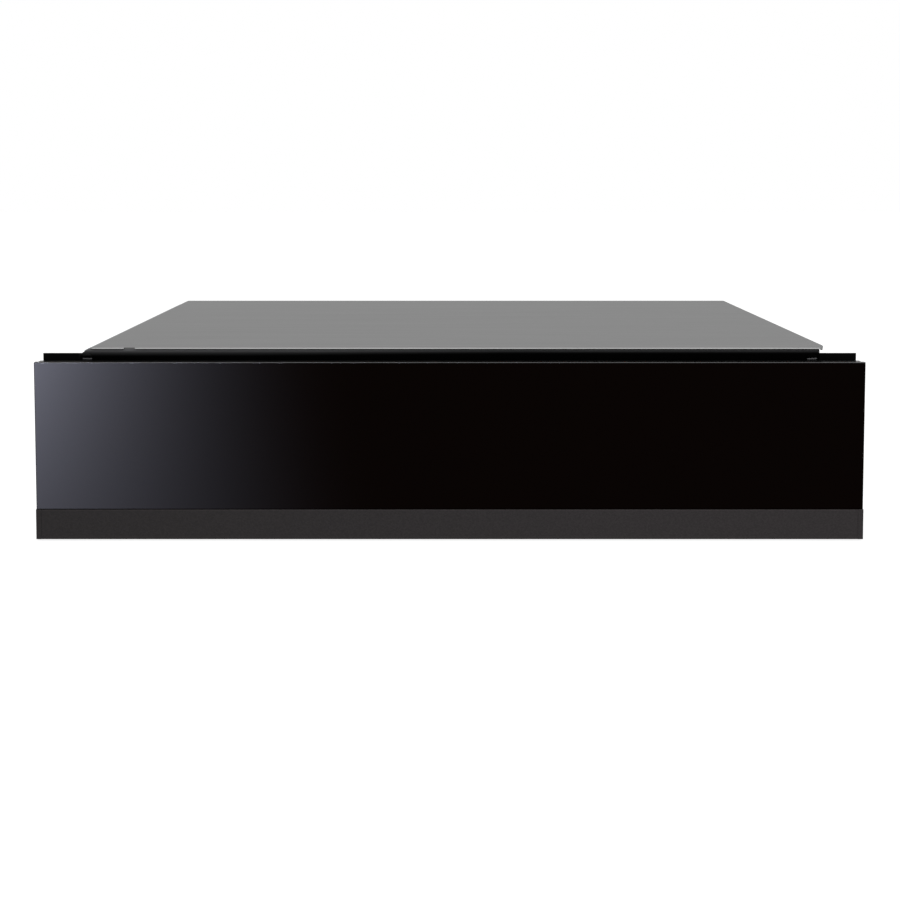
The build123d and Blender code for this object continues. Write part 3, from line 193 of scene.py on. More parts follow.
class Finish:
    """One material: a Principled shader, and short calls for the nodes that feed it."""

    def __init__(self, name, tint, roughness, metallic=0.0, **sockets):
        self.material = bpy.data.materials.new(name)
        self.material.use_nodes = True
        self.tree = self.material.node_tree
        self.shader = self.tree.nodes["Principled BSDF"]
        self.place = self.node("ShaderNodeTexCoord").outputs["Object"]
        self.facing = self.node("ShaderNodeNewGeometry").outputs["True Normal"]
        self.tint = tuple(tint)
        self.set("Base Color", (*tint, 1.0))
        self.set("Roughness", roughness)
        self.set("Metallic", metallic)
        for socket, value in sockets.items():
            self.set(socket.replace("_", " "), value)

    def set(self, socket, value):
        """Sets a shader socket, or links a node's output to it."""
        feed(self.tree, self.shader.inputs[socket], value)

    def node(self, kind, inputs=None, **settings):
        return add_node(self.tree, kind, inputs, **settings)

    def math(self, operation, *values):
        """The result of a sum on one or two values."""
        inputs = dict(enumerate(values))
        return self.node("ShaderNodeMath", inputs, operation=operation).outputs[0]

    def product(self, first, *others):
        """All values multiplied."""
        for value in others:
            first = self.math("MULTIPLY", first, value)
        return first

    def weighted(self, first, *others):
        """The sum of (value, weight) pairs, each value times its weight."""
        total = self.product(*first)
        for pair in others:
            total = self.math("ADD", total, self.product(*pair))
        return total

    def spread(self, value, low, high, to_low=0.0, to_high=1.0):
        """Maps value from low...high to to_low...to_high, clamped."""
        inputs = dict(enumerate((value, low, high, to_low, to_high)))
        return self.node("ShaderNodeMapRange", inputs).outputs[0]

    def along(self, axis):
        """How far along an axis a point lies."""
        return self.node("ShaderNodeSeparateXYZ", {0: self.place}).outputs[axis]

    def axis_share(self, axis):
        """How squarely a face looks along an axis, 0 to 1."""
        facing = self.node("ShaderNodeSeparateXYZ", {0: self.facing}).outputs[axis]
        return self.math("ABSOLUTE", facing)

    def scaled(self, stretch):
        """Object coordinates stretched along each axis."""
        inputs = {"Vector": self.place, "Scale": stretch}
        return self.node("ShaderNodeMapping", inputs).outputs["Vector"]

    def noise(self, size, stretch=(1, 1, 1), detail=2.0, rough=0.5):
        """Soft noise with blobs about size across, drawn out along an axis by its stretch."""
        vector = self.scaled([1 / share for share in stretch])
        inputs = {"Vector": vector, "Scale": 1 / size, "Detail": detail, "Roughness": rough}
        return self.node("ShaderNodeTexNoise", inputs).outputs["Fac"]

    def cell_tones(self, size):
        """Three unlike tones for each cell of a pattern of cells about size across."""
        inputs = {"Vector": self.place, "Scale": 1 / size}
        cells = self.node("ShaderNodeTexVoronoi", inputs, feature="F1").outputs["Color"]
        return self.node("ShaderNodeSeparateColor", {0: cells}).outputs

    def worn_edges(self, width):
        """1 along outer and inner edges, 0 elsewhere."""
        rounded = self.node("ShaderNodeBevel", {"Radius": width}, samples=4).outputs[0]
        inputs = {0: rounded, 1: self.facing}
        same = self.node("ShaderNodeVectorMath", inputs, operation="DOT_PRODUCT").outputs["Value"]
        return self.spread(self.math("SUBTRACT", 1.0, same), 0.02, 0.25)

    def between(self, factor, first, second):
        """A number between two numbers, which go to the Mix node's sockets 2 and 3."""
        inputs = {0: factor, 2: first, 3: second}
        return self.node("ShaderNodeMix", inputs, data_type="FLOAT").outputs[0]

    def blend(self, factor, first, second):
        """A colour between two colours, which go to the Mix node's sockets 6 and 7."""
        inputs = {0: factor}
        for socket, value in ((6, first), (7, second)):
            linked = isinstance(value, bpy.types.NodeSocket)
            inputs[socket] = value if linked else (*value, 1.0)
        return self.node("ShaderNodeMix", inputs, data_type="RGBA").outputs[2]

    def brighter(self, times, more=0.0):
        """The finish's own colour times a number, with a little more added."""
        return [min(1.0, channel * times + more) for channel in self.tint]

    def shade(self, factor, low, high):
        """The finish's own colour, between low and high times its brightness."""
        return self.blend(factor, self.brighter(low), self.brighter(high))

    def vary_colour(self, pattern, low, high):
        """Lets a pattern shade the colour from low to high times its brightness."""
        self.set("Base Color", self.shade(pattern, low, high))

    def vary_roughness(self, pattern, low, high, reach=(0.3, 0.7)):
        """Lets a pattern's reach carry the roughness from low to high."""
        self.set("Roughness", self.spread(pattern, *reach, low, high))

    def bump(self, height, depth):
        """Gives the surface a relief of that depth."""
        inputs = {"Height": height, "Distance": depth, "Strength": 1.0}
        self.set("Normal", self.node("ShaderNodeBump", inputs).outputs["Normal"])


# ---------------------------------------------------------------- finishes
def black_glass(colours):
    """Back-printed glass: almost black, with faint wiping marks in its gloss."""
    made = Finish("Black glass", colours.glass, 0.07, Specular_IOR_Level=0.015)
    marks = made.noise(0.09, (2.5, 1, 1), 4, 0.6)
    made.vary_colour(marks, 0.9, 1.15)
    made.vary_roughness(marks, 0.05, 0.11, reach=(0.35, 0.75))
    made.bump(made.noise(0.12, detail=1), 0.00002)
    return made


def ground_glass(colours):
    """The ground edge of the pane."""
    made = Finish("Ground glass edge", colours.glass_edge, 0.28, Specular_IOR_Level=0.5)
    grain = made.noise(0.0012, (8, 1, 1), 3)
    made.vary_colour(grain, 0.88, 1.15)
    made.vary_roughness(grain, 0.22, 0.36)
    made.bump(grain, 0.000004)
    return made


def dark_lacquer(colours):
    """Satin lacquer with fine metal flakes, darker towards its left end with painted shade."""
    made = Finish("Dark lacquer", colours.trim, 0.42, Specular_IOR_Level=0.22)
    flakes = made.cell_tones(0.0009)
    grain = made.weighted((flakes[0], 0.65), (made.noise(0.11, (2, 1, 1)), 0.35))
    # Painted shade: the colour darkens from the right towards the left end.
    painted_shade_drift = made.spread(made.along("X"), -0.28, 0.12)
    left, right = made.shade(grain, 0.42, 0.9), made.shade(grain, 0.74, 1.34)
    made.set("Base Color", made.blend(painted_shade_drift, left, right))
    made.vary_roughness(flakes[1], 0.36, 0.5, reach=(0.0, 1.0))
    made.bump(made.noise(0.0016, detail=3), 0.00004)
    return made


def brushed_cover(colours):
    """Grey sheet with a fine grain along X, and painted shade that darkens its upright faces."""
    made = Finish("Brushed cover", colours.cover, 0.42, 1.0, Specular_Tint=(0.5, 0.5, 0.5, 1.0))
    fine = made.noise(0.0011, (160, 1, 1), 3, 0.7)
    broad = made.noise(0.009, (14, 1, 1), 3)
    grain = made.weighted((fine, 0.5), (broad, 0.5))
    # Painted shade: faces that don't look up or down drop to 0.62 times the colour.
    level = made.spread(made.axis_share("Z"), 0.3, 0.7)
    made.set("Base Color", made.blend(level, made.brighter(0.62), made.shade(grain, 0.78, 1.22)))
    made.vary_roughness(fine, 0.36, 0.5, reach=(0.25, 0.75))
    made.bump(fine, 0.00002)
    return made


def stoved(name, tint, level):
    """Black paint with a slight orange peel, rubbed thin along its edges.

    Returns the finish and its colour.
    """
    made = Finish(name, tint, 0.36, Specular_IOR_Level=level)
    patch = made.noise(0.03, detail=4, rough=0.65)
    rub = made.product(made.worn_edges(0.0006), made.spread(patch, 0.5, 0.68))
    paint = made.blend(rub, made.shade(patch, 0.7, 1.4), (0.05, 0.05, 0.052))
    made.set("Base Color", paint)
    made.vary_roughness(patch, 0.3, 0.46)
    made.bump(made.noise(0.0022), 0.00006)
    return made, paint


def black_paint(colours):
    """The paint of the front's frame."""
    return stoved("Black paint", colours.enamel, 0.03)[0]


def painted_sheen_paint(colours):
    """The same black, darker as painted shade, with a painted sheen: lighter grey over the top
    rail's bend, reaching further down on the left.
    """
    made, paint = stoved("Rubbed paint", colours.rail, 0.01)
    across = made.along("X")
    left, right = -0.15, 0.05
    reach = made.spread(across, left, right, 5.8 * MM, 3.8 * MM)
    drop = made.math("SUBTRACT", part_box("front_top_rail")[1].z, made.along("Z"))
    down = made.spread(made.math("DIVIDE", drop, reach), 0.0, 1.0)
    near_top = made.math("SUBTRACT", 1.0, down)
    patches = made.spread(made.noise(0.02, (6, 1, 1), 3), 0.25, 0.7, 0.8, 1.1)
    # Painted sheen: the bend's top is lightened towards grey, in patches, and less towards the
    # right.
    painted_sheen = made.product(near_top, near_top, patches, made.spread(across, left, right, 1.0, 0.62))
    made.set("Base Color", made.blend(painted_sheen, paint, (0.135, 0.135, 0.14)))
    return made


def brushed_steel(name, tint, roughness, depth=0.00003):
    """Steel with a brushed grain: along X on level faces, and level along upright ones."""
    made = Finish(name, tint, roughness, 1.0)
    level = made.noise(0.0010, (90, 1, 1), 3, 0.65)
    upright = made.noise(0.0010, (90, 90, 1), 3, 0.65)
    grain = made.between(made.spread(made.axis_share("Z"), 0.4, 0.8), upright, level)
    made.vary_colour(made.weighted((grain, 0.6), (made.noise(0.08, detail=3), 0.4)), 0.8, 1.2)
    made.vary_roughness(grain, roughness - 0.07, roughness + 0.1, reach=(0.25, 0.75))
    made.bump(grain, depth)
    return made


def stainless(colours):
    """Brushed stainless steel."""
    return brushed_steel("Stainless steel", colours.stainless, 0.3)


def wheel_aluminium(colours):
    """Plain aluminium with a rolled grain."""
    return brushed_steel("Plain aluminium", colours.wheel, 0.34, 0.00002)


def galvanised(colours):
    """Zinc coated sheet: crystal spangle, dulled in patches, bright on its cut edges."""
    made = Finish("Galvanised sheet", colours.galvanised, 0.42, 1.0)
    large, small = made.cell_tones(0.009), made.cell_tones(0.0032)
    cloud = made.noise(0.07, detail=4, rough=0.6)
    crystal = made.weighted((large[0], 0.5), (small[1], 0.2), (cloud, 0.3))
    body = made.shade(crystal, 0.82, 1.14)
    made.set("Base Color", made.blend(made.worn_edges(0.0005), body, (0.62, 0.63, 0.64)))
    made.vary_roughness(large[1], 0.34, 0.5, reach=(0.0, 1.0))
    made.bump(crystal, 0.00002)
    return made


def aluminised(colours):
    """Aluminium coated sheet: matt and faintly mottled."""
    made = Finish("Aluminised sheet", colours.aluminised, 0.5, 1.0)
    mottle = made.noise(0.0045, detail=4, rough=0.7)
    made.vary_colour(mottle, 0.75, 1.2)
    made.vary_roughness(mottle, 0.4, 0.58)
    made.bump(mottle, 0.00004)
    return made


def plated(name, tint, roughness):
    """Bright plated steel, a little duller in patches."""
    made = Finish(name, tint, roughness, 1.0)
    patch = made.noise(0.012, detail=4, rough=0.65)
    body = made.shade(patch, 0.82, 1.15)
    made.set("Base Color", made.blend(made.worn_edges(0.0004), body, made.brighter(1.35)))
    made.vary_roughness(patch, roughness - 0.06, roughness + 0.12)
    made.bump(made.noise(0.0007), 0.00001)
    return made


def zinc_plate(colours):
    """Bright zinc on the runners."""
    return plated("Zinc plate", colours.runner, 0.26)


def bright_steel(colours):
    """Balls, cages and shafts."""
    return plated("Bright steel", colours.bright, 0.16)


def screw_plate(colours):
    """Bright plate of the screws."""
    return plated("Screw plate", colours.screw, 0.22)


def recess_painted_shade(colours):
    """The screws' recesses, darkened with painted shade."""
    return plated("Soiled recess", colours.recess, 0.5)


def bare_slot(colours):
    """Metal laid bare in the slots of the two screws over the front."""
    return plated("Bare slot", colours.slot, 0.3)


def mineral_fibre(colours):
    """Bonded fibre with strands and darker knots."""
    made = Finish("Mineral fibre", colours.fibre, 0.95, Specular_IOR_Level=0.15)
    strands = made.noise(0.0016, (7, 2, 1), 5, 0.7)
    cross = made.noise(0.0016, (1, 8, 1), 5, 0.7)
    wool = made.weighted((strands, 0.5), (cross, 0.5))
    made.vary_colour(wool, 0.55, 1.35)
    made.bump(wool, 0.0006)
    return made


def silicone(colours):
    """Matt silicone with a fine moulded grain and a little lint."""
    made = Finish("Silicone", colours.silicone, 0.62, Specular_IOR_Level=0.35)
    lint = made.noise(0.02, detail=5, rough=0.7)
    made.vary_colour(lint, 0.75, 1.5)
    made.vary_roughness(lint, 0.52, 0.72)
    made.bump(made.noise(0.0008, detail=3), 0.00003)
    return made


def oxidised_sheath(colours):
    """The element's sheath, tinted brown and blue by heat."""
    made = Finish("Oxidised sheath", colours.sheath, 0.42, 0.85)
    heat = made.spread(made.noise(0.03, detail=3, rough=0.6), 0.35, 0.68)
    scale = made.noise(0.0012, detail=3)
    made.set("Base Color", made.blend(heat, (0.11, 0.075, 0.045), (0.05, 0.055, 0.075)))
    made.vary_roughness(scale, 0.32, 0.55)
    made.bump(scale, 0.00004)
    return made


def pale_print(colours):
    """Screen-printed marks."""
    made = Finish("Pale print", colours.print, 0.5, Specular_IOR_Level=0.3)
    grain = made.noise(0.0004)
    made.vary_colour(grain, 0.85, 1.08)
    made.vary_roughness(grain, 0.44, 0.58)
    made.bump(grain, 0.00001)
    return made


def steatite(colours):
    """Unglazed ceramic."""
    made = Finish("Steatite", colours.steatite, 0.45)
    pores = made.noise(0.0009, detail=3, rough=0.7)
    made.vary_colour(made.noise(0.01, detail=3), 0.85, 1.08)
    made.vary_roughness(pores, 0.36, 0.56)
    made.bump(pores, 0.00005)
    return made


def motor_stack(colours):
    """Varnished steel plates, stacked along Y."""
    made = Finish("Motor stack", colours.core, 0.4, 0.6)
    plates = made.node(
        "ShaderNodeTexWave", {"Vector": made.place, "Scale": 320.0, "Distortion": 0.15},
        wave_type="BANDS", bands_direction="Y", wave_profile="SAW",
    )
    varnish = made.noise(0.008, detail=3)
    made.vary_colour(varnish, 0.6, 1.5)
    made.vary_roughness(varnish, 0.3, 0.5)
    made.bump(plates.outputs["Fac"], 0.00015)
    return made


def moulded(name, tint, roughness, grain_size, depth, level=0.5):
    """Moulded plastic with a fine grain, a little paler along its edges."""
    made = Finish(name, tint, roughness, Specular_IOR_Level=level)
    cloud = made.noise(0.02, detail=3)
    body = made.shade(cloud, 0.82, 1.18)
    made.set("Base Color", made.blend(made.worn_edges(0.0005), body, made.brighter(1.5, 0.004)))
    made.vary_roughness(cloud, roughness - 0.06, roughness + 0.08)
    made.bump(made.noise(grain_size), depth)
    return made


def black_plastic(colours):
    """Fine grained black plastic."""
    return moulded("Black plastic", colours.black, 0.46, 0.0007, 0.00004, 0.4)


def grey_plastic(colours):
    """Fine grained grey plastic."""
    return moulded("Grey plastic", colours.grey, 0.5, 0.0007, 0.00004)


def white_plastic(colours):
    """Smooth white plastic."""
    return moulded("White plastic", colours.white, 0.4, 0.002, 0.00002)


def rocker_plastic(colours):
    """Polished black plastic."""
    return moulded("Rocker plastic", colours.rocker, 0.16, 0.003, 0.00001)


def lamp_lens(colours):
    """Clear amber lens."""
    made = Finish("Amber lens", colours.lens, 0.12, Transmission_Weight=0.35, IOR=1.49)
    cloud = made.noise(0.002)
    made.vary_colour(cloud, 0.85, 1.15)
    made.bump(cloud, 0.00003)
    return made


def copper(colours):
    """Drawn copper, a little tarnished."""
    made = Finish("Drawn copper", colours.copper, 0.3, 1.0)
    tarnish = made.noise(0.012, detail=4, rough=0.65)
    brown = made.spread(tarnish, 0.45, 0.75)
    made.set("Base Color", made.blend(brown, made.tint, (0.28, 0.14, 0.09)))
    made.vary_roughness(tarnish, 0.22, 0.45)
    made.bump(made.noise(0.0006), 0.00001)
    return made


def woven(name, tint, roughness, pitch):
    """A braided sleeve: two crossed sets of bands."""
    made = Finish(name, tint, roughness, Specular_IOR_Level=0.3)
    bands = [
        made.node(
            "ShaderNodeTexWave", {"Vector": place, "Scale": 0.5 / pitch},
            wave_type="BANDS", bands_direction="DIAGONAL",
        ).outputs["Fac"]
        for place in (made.place, made.scaled((-1.0, 1.0, -1.0)))
    ]
    braid = made.math("MAXIMUM", *bands)
    made.vary_colour(braid, 0.55, 1.25)
    made.bump(braid, 0.00025)
    return made


def loom_sleeve(colours):
    """Black braided sleeve."""
    return woven("Loom sleeve", colours.loom, 0.6, 0.0014)


def lead_sleeve(colours):
    """Cream glass fibre sleeve."""
    return woven("Lead sleeve", colours.lead, 0.75, 0.0010)


FINISH_OF_SLOT = {
    "black_glass": black_glass,
    "ground_glass": ground_glass,
    "dark_trim": dark_lacquer,
    "black_enamel": black_paint,
    "painted_sheen_paint": painted_sheen_paint,
    "brushed_cover": brushed_cover,
    "stainless": stainless,
    "galvanised": galvanised,
    "aluminised": aluminised,
    "runner_steel": zinc_plate,
    "cage_steel": bright_steel,
    "plated_screw": screw_plate,
    "recess_painted_shade": recess_painted_shade,
    "bare_slot": bare_slot,
    "mineral_fibre": mineral_fibre,
    "silicone": silicone,
    "element_sheath": oxidised_sheath,
    "steatite": steatite,
    "impeller_aluminium": wheel_aluminium,
    "motor_core": motor_stack,
    "black_plastic": black_plastic,
    "grey_plastic": grey_plastic,
    "white_plastic": white_plastic,
    "rocker_plastic": rocker_plastic,
    "pale_print": pale_print,
    "lamp_lens": lamp_lens,
    "copper": copper,
    "loom_sleeve": loom_sleeve,
    "lead_sleeve": lead_sleeve,
}
# Nodes whose finish is a variant of their slot's.
FINISH_OF_NODE = {"front_top_rail": "painted_sheen_paint"}
MATERIALS = {}


def finish(name, context):
    """The material of a finish, made on its first use."""
    if name not in MATERIALS:
        MATERIALS[name] = FINISH_OF_SLOT[name](context.scene.drawer_colours).material
    return MATERIALS[name]


# ---------------------------------------------------------------- shapes
def new_verts(mesh, known):
    """The vertices that aren't among those known."""
    return [v for v in mesh.verts if v not in known]


def edges_of(verts):
    """The edges whose two ends are both among verts."""
    chosen = set(verts)
    near = {e for v in verts for e in v.link_edges}
    return [e for e in near if chosen.issuperset(e.verts)]


def faces_of(verts):
    """The faces that touch verts."""
    return list({f for v in verts for f in v.link_faces})


def running(edges, axis):
    """Those edges that run along an axis: 0, 1 or 2."""
    return [e for e in edges if abs((e.verts[0].co - e.verts[1].co).normalized()[axis]) > 0.9]


def block(mesh, low, high):
    """Adds a box between two corners and returns its vertices."""
    made = bmesh.ops.create_cube(mesh, size=1.0)["verts"]
    low, high = Vector(low), Vector(high)
    bmesh.ops.scale(mesh, vec=high - low, verts=made)
    bmesh.ops.translate(mesh, vec=(low + high) / 2, verts=made)
    return made


def round_edges(mesh, edges, radius, segments):
    """Rounds edges in some segments. Returns the new geometry."""
    return bmesh.ops.bevel(
        mesh, geom=list(edges), offset=radius, offset_type="OFFSET", segments=segments,
        profile=0.5, affect="EDGES", clamp_overlap=True, material=-1,
    )


def placed(mesh, verts, axis, centre, spin=0.0):
    """Turns verts from +Z to an axis, with a spin about it first, and moves them to a centre."""
    turn = Vector((0, 0, 1)).rotation_difference(Vector(axis)).to_matrix().to_4x4()
    matrix = Matrix.Translation(centre) @ turn @ Matrix.Rotation(spin, 4, "Z")
    bmesh.ops.transform(mesh, matrix=matrix, verts=verts)


def turned(mesh, outline, steps=32):
    """Spins an outline of (radius, height) points about Z. Returns the new vertices."""
    known = set(mesh.verts)
    points = [mesh.verts.new((radius, 0.0, height)) for radius, height in outline]
    lines = [mesh.edges.new(pair) for pair in zip(points, points[1:])]
    bmesh.ops.spin(
        mesh, geom=points + lines, cent=(0, 0, 0), axis=(0, 0, 1), dvec=(0, 0, 0),
        angle=math.tau, steps=steps, use_merge=True, use_duplicate=False,
    )
    bmesh.ops.remove_doubles(mesh, verts=new_verts(mesh, known), dist=MERGE)
    return new_verts(mesh, known)


def grow(mesh, ring, radius, height):
    """Carries a ring of edges about Z on to another radius and height. Returns the new ring."""
    made = bmesh.ops.extrude_edge_only(mesh, edges=ring)["geom"]
    verts = {each for each in made if isinstance(each, bmesh.types.BMVert)}
    for vert in verts:
        vert.co = (*(vert.co.xy.normalized() * radius), height)
    return [e for e in made if isinstance(e, bmesh.types.BMEdge) and verts.issuperset(e.verts)]


def dome(radius, rise, edge):
    """Points (radius, height) from a dome's top to its edge, which is at that share of its rise."""
    angles = [step * math.pi / 12 for step in range(7)]
    return [(radius * math.sin(a), rise * (edge + (1 - edge) * math.cos(a))) for a in angles]


def cross_screw(mesh, sizes, shank):
    """A domed screw with a cross recess, its seat on the XY plane. Returns its vertices."""
    known = set(mesh.verts)
    head, rise = sizes.screw_head, sizes.screw_rise
    # A grid in shares of the head's radius: its sides, the ends of the arms and their flanks.
    lines = (-0.5, -0.42, -0.12, 0.12, 0.42, 0.5)
    cells = len(lines) - 1
    made = bmesh.ops.create_grid(mesh, x_segments=cells, y_segments=cells, size=0.5)["verts"]
    for vert in made:
        vert.co.xy = [head * lines[round((value + 0.5) * cells)] for value in vert.co.xy]
    cross = []
    for face in faces_of(made):
        near, far = sorted(abs(value) / head for value in face.calc_center_median().xy)
        if near < lines[3] and far < lines[4]:
            cross.append(face)
    # The grid's rim grows to an even ring.
    crown = 0.84 * head
    ring = grow(mesh, [e for e in edges_of(made) if len(e.link_faces) == 1], crown, 0.0)
    around = {v for e in ring for v in e.verts}
    around = sorted(around, key=lambda v: math.atan2(v.co.y, v.co.x))
    for index, vert in enumerate(around):
        turn = math.tau * ((index + 0.5) / len(around) - 0.5)
        vert.co.xy = crown * math.cos(turn), crown * math.sin(turn)
    for vert in new_verts(mesh, known):
        vert.co.z = rise * (1.0 - 0.55 * (vert.co.xy.length / head) ** 2)
    floor = bmesh.ops.dissolve_faces(mesh, faces=cross)["region"]
    walls = bmesh.ops.inset_region(
        mesh, faces=floor, thickness=0.055 * head, depth=-1.2 * rise, use_even_offset=True
    )["faces"]
    # The recess's floor and walls take the second finish, which paints shade into them.
    for face in floor + walls:
        face.material_index = 1
    steps = ((0.95 * head, 0.5 * rise), (head, 0.3 * rise), (head, 0.0),
             (sizes.screw_shank, 0.0), (sizes.screw_shank, -shank))
    for radius, height in steps:
        ring = grow(mesh, ring, radius, height)
    bmesh.ops.edgeloop_fill(mesh, edges=ring)
    return new_verts(mesh, known)


def slotted_screw(mesh, sizes, shank):
    """A domed screw with a straight slot, its seat on the XY plane. Returns its vertices."""
    known = set(mesh.verts)
    head, rise, thin = sizes.screw_head, sizes.screw_rise, sizes.screw_shank
    half, floor, collar = 0.13 * head, 0.35 * rise, 0.1 * rise
    for side in (1, -1):
        verts = turned(mesh, dome(head, rise, 0.35) + [(head, 0.0), (0.0, 0.0)], 40)
        cut = bmesh.ops.bisect_plane(
            mesh, geom=verts + edges_of(verts) + faces_of(verts), plane_co=(0, side * half, 0),
            plane_no=(0, side, 0), clear_inner=True, dist=MERGE,
        )["geom_cut"]
        cut = [e for e in cut if isinstance(e, bmesh.types.BMEdge)]
        bmesh.ops.holes_fill(mesh, edges=cut, sides=0)
    # The stem fills the gap between the two halves up to the slot's floor.
    outline = [(0.0, floor), (0.96 * head, floor), (0.96 * head, collar), (thin, collar),
               (thin, -shank), (0.0, -shank)]
    for face in faces_of(turned(mesh, outline, 40)):
        face.material_index = 1
    return new_verts(mesh, known)


def domed_rivet(mesh, sizes, shank):
    """A rivet with a domed head, its seat on the XY plane. Returns its vertices."""
    head, thin = sizes.screw_head, sizes.screw_shank
    outline = dome(head, sizes.screw_rise, 0.3)
    return turned(mesh, outline + [(head, 0.0), (thin, 0.0), (thin, -shank), (0.0, -shank)])


def solids_of(node):
    """The two corners of each separate solid of a CAD node, in its mesh's order."""
    mesh = bmesh.new()
    mesh.from_mesh(NODES[node].data)
    bmesh.ops.remove_doubles(mesh, verts=mesh.verts, dist=NEAR)
    boxes, seen = [], set()
    for start in mesh.verts:
        if start in seen:
            continue
        seen.add(start)
        waiting, places = [start], []
        while waiting:
            vert = waiting.pop()
            places.append(vert.co.copy())
            others = {edge.other_vert(vert) for edge in vert.link_edges} - seen
            seen |= others
            waiting += others
        boxes.append([Vector([pick(place[axis] for place in places) for axis in range(3)])
                      for pick in (min, max)])
    mesh.free()
    return boxes


def joint_of(name):
    """The record's row of a joint."""
    return next(row for row in FRAME["record"]["behaviour"]["joints"] if row["name"] == name)


def front_middle(node, y):
    """The middle of a node as seen from the front, carried to a depth."""
    low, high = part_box(node)
    return Vector(((low.x + high.x) / 2, y, (low.z + high.z) / 2))


def lettering(mesh, text, size, rise, matrix):
    """Adds raised lettering, centred on a matrix's origin and facing its +Z."""
    curve = bpy.data.curves.new("lettering", "FONT")
    curve.body, curve.size, curve.extrude = text, size, rise
    curve.align_x, curve.align_y = "CENTER", "CENTER"
    curve.resolution_u = 4
    carrier = bpy.data.objects.new("lettering", curve)
    flat = bpy.data.meshes.new_from_object(carrier)
    known = set(mesh.verts)
    mesh.from_mesh(flat)
    bmesh.ops.remove_doubles(mesh, verts=new_verts(mesh, known), dist=MERGE)
    bmesh.ops.transform(mesh, matrix=matrix, verts=new_verts(mesh, known))
    bpy.data.objects.remove(carrier)
    bpy.data.curves.remove(curve)
    bpy.data.meshes.remove(flat)


def linked(context, name, data):
    """A new object in the scene."""
    made = bpy.data.objects.new(name, data)
    context.scene.collection.objects.link(made)
    return made


def piece(context, name, mesh, body, finishes, replaces=(), smooth=35.0):
    """Makes a finished object of a bmesh, which rides on a body of the frame."""
    bmesh.ops.recalc_face_normals(mesh, faces=mesh.faces)
    data = bpy.data.meshes.new(name)
    mesh.to_mesh(data)
    mesh.free()
    data.shade_smooth()
    data.set_sharp_from_angle(angle=math.radians(smooth))
    for each in finishes:
        data.materials.append(finish(each, context))
    made = linked(context, name, data)
    weighted = made.modifiers.new("Weighted normals", "WEIGHTED_NORMAL")
    weighted.keep_sharp = True
    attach(made, body)
    if replaces:
        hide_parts(*replaces)


# ---------------------------------------------------------------- pieces
class DrawerOperator(bpy.types.Operator):
    """Common ground of the pieces' operators."""

    bl_options = {"REGISTER", "UNDO"}


class DRAWER_OT_finishes(DrawerOperator):
    """Gives every node of the frame the finish of its slot"""

    bl_idname = "drawer.finishes"
    bl_label = "Finishes"

    def execute(self, context):
        for part in FRAME["record"]["subparts"]:
            name = FINISH_OF_NODE.get(part["node"], part["material_slot"])
            data = NODES[part["node"]].data
            data.materials.clear()
            data.materials.append(finish(name, context))
        return {"FINISHED"}


class DRAWER_OT_glass(DrawerOperator):
    """The black glass pane with its ground edges"""

    bl_idname = "drawer.glass"
    bl_label = "Glass pane"

    def execute(self, context):
        sizes = context.scene.drawer_sizes
        low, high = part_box("glass_front")
        mesh = bmesh.new()
        block(mesh, low, high)
        front = [e for e in mesh.edges if all(v.co.y < low.y + NEAR for v in e.verts)]
        ground = high.z - sizes.glass_edge
        for face in round_edges(mesh, front, sizes.glass_edge, 2)["faces"]:
            # Only the top edge shows its grinding.
            face.material_index = int(face.calc_center_median().z > ground)
        round_edges(mesh, running(mesh.edges, 1), sizes.glass_corner, 2)
        piece(context, "glass_pane", mesh, "drawer", ["black_glass", "ground_glass"],
              ["glass_front"])
        return {"FINISHED"}


class DRAWER_OT_trim(DrawerOperator):
    """The lower strip with its end caps"""

    bl_idname = "drawer.trim"
    bl_label = "Lower strip"

    def execute(self, context):
        sizes = context.scene.drawer_sizes
        low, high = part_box("lower_trim_strip")
        cap, gap = sizes.trim_cap, sizes.trim_gap
        mesh = bmesh.new()
        # Left cap, strip and right cap.
        for left, right in ((low.x, low.x + cap - gap), (low.x + cap + gap, high.x - cap - gap),
                            (high.x - cap + gap, high.x)):
            verts = block(mesh, (left, low.y, low.z), (right, high.y, high.z))
            front = [e for e in edges_of(verts) if all(v.co.y < low.y + NEAR for v in e.verts)]
            level = running(front, 0)
            upper = [e for e in level if e.verts[0].co.z > high.z - NEAR]
            lower = [e for e in level if e not in upper]
            tips = [e for e in front if all(abs(v.co.x) > high.x - NEAR for v in e.verts)]
            round_edges(mesh, upper + tips, sizes.trim_rounding, 4)
            lower = [e for e in lower if e.is_valid]
            round_edges(mesh, lower, 0.3 * sizes.trim_rounding, 2)
        bmesh.ops.remove_doubles(mesh, verts=mesh.verts, dist=MERGE)
        piece(context, "trim_strip", mesh, "drawer", ["dark_trim"],
              ["lower_trim_strip"])
        return {"FINISHED"}


BACK = Vector((0, 1, 0))
CROSS_FINISHES = ["plated_screw", "recess_painted_shade"]
# Piece, node, body, shape, finishes, turn in radians from one to the next, and the way the
# heads look: an axis, or None for outwards along X.
FASTENERS = (
    ("rail_screw_heads", "rail_screws", "casing", slotted_screw, ["painted_sheen_paint", "bare_slot"],
     0.05, -BACK),
    ("rear_screw_heads", "rear_screws", "casing", cross_screw, CROSS_FINISHES, 0.9, BACK),
    ("front_screw_heads", "front_fixing_screws", "drawer", cross_screw, CROSS_FINISHES, 0.9,
     BACK),
    ("side_screw_heads", "side_screws", "casing", cross_screw, CROSS_FINISHES, 0.9, None),
    ("runner_rivet_heads", "runner_rivets", "casing", domed_rivet, ["plated_screw"], 0.0, None),
)


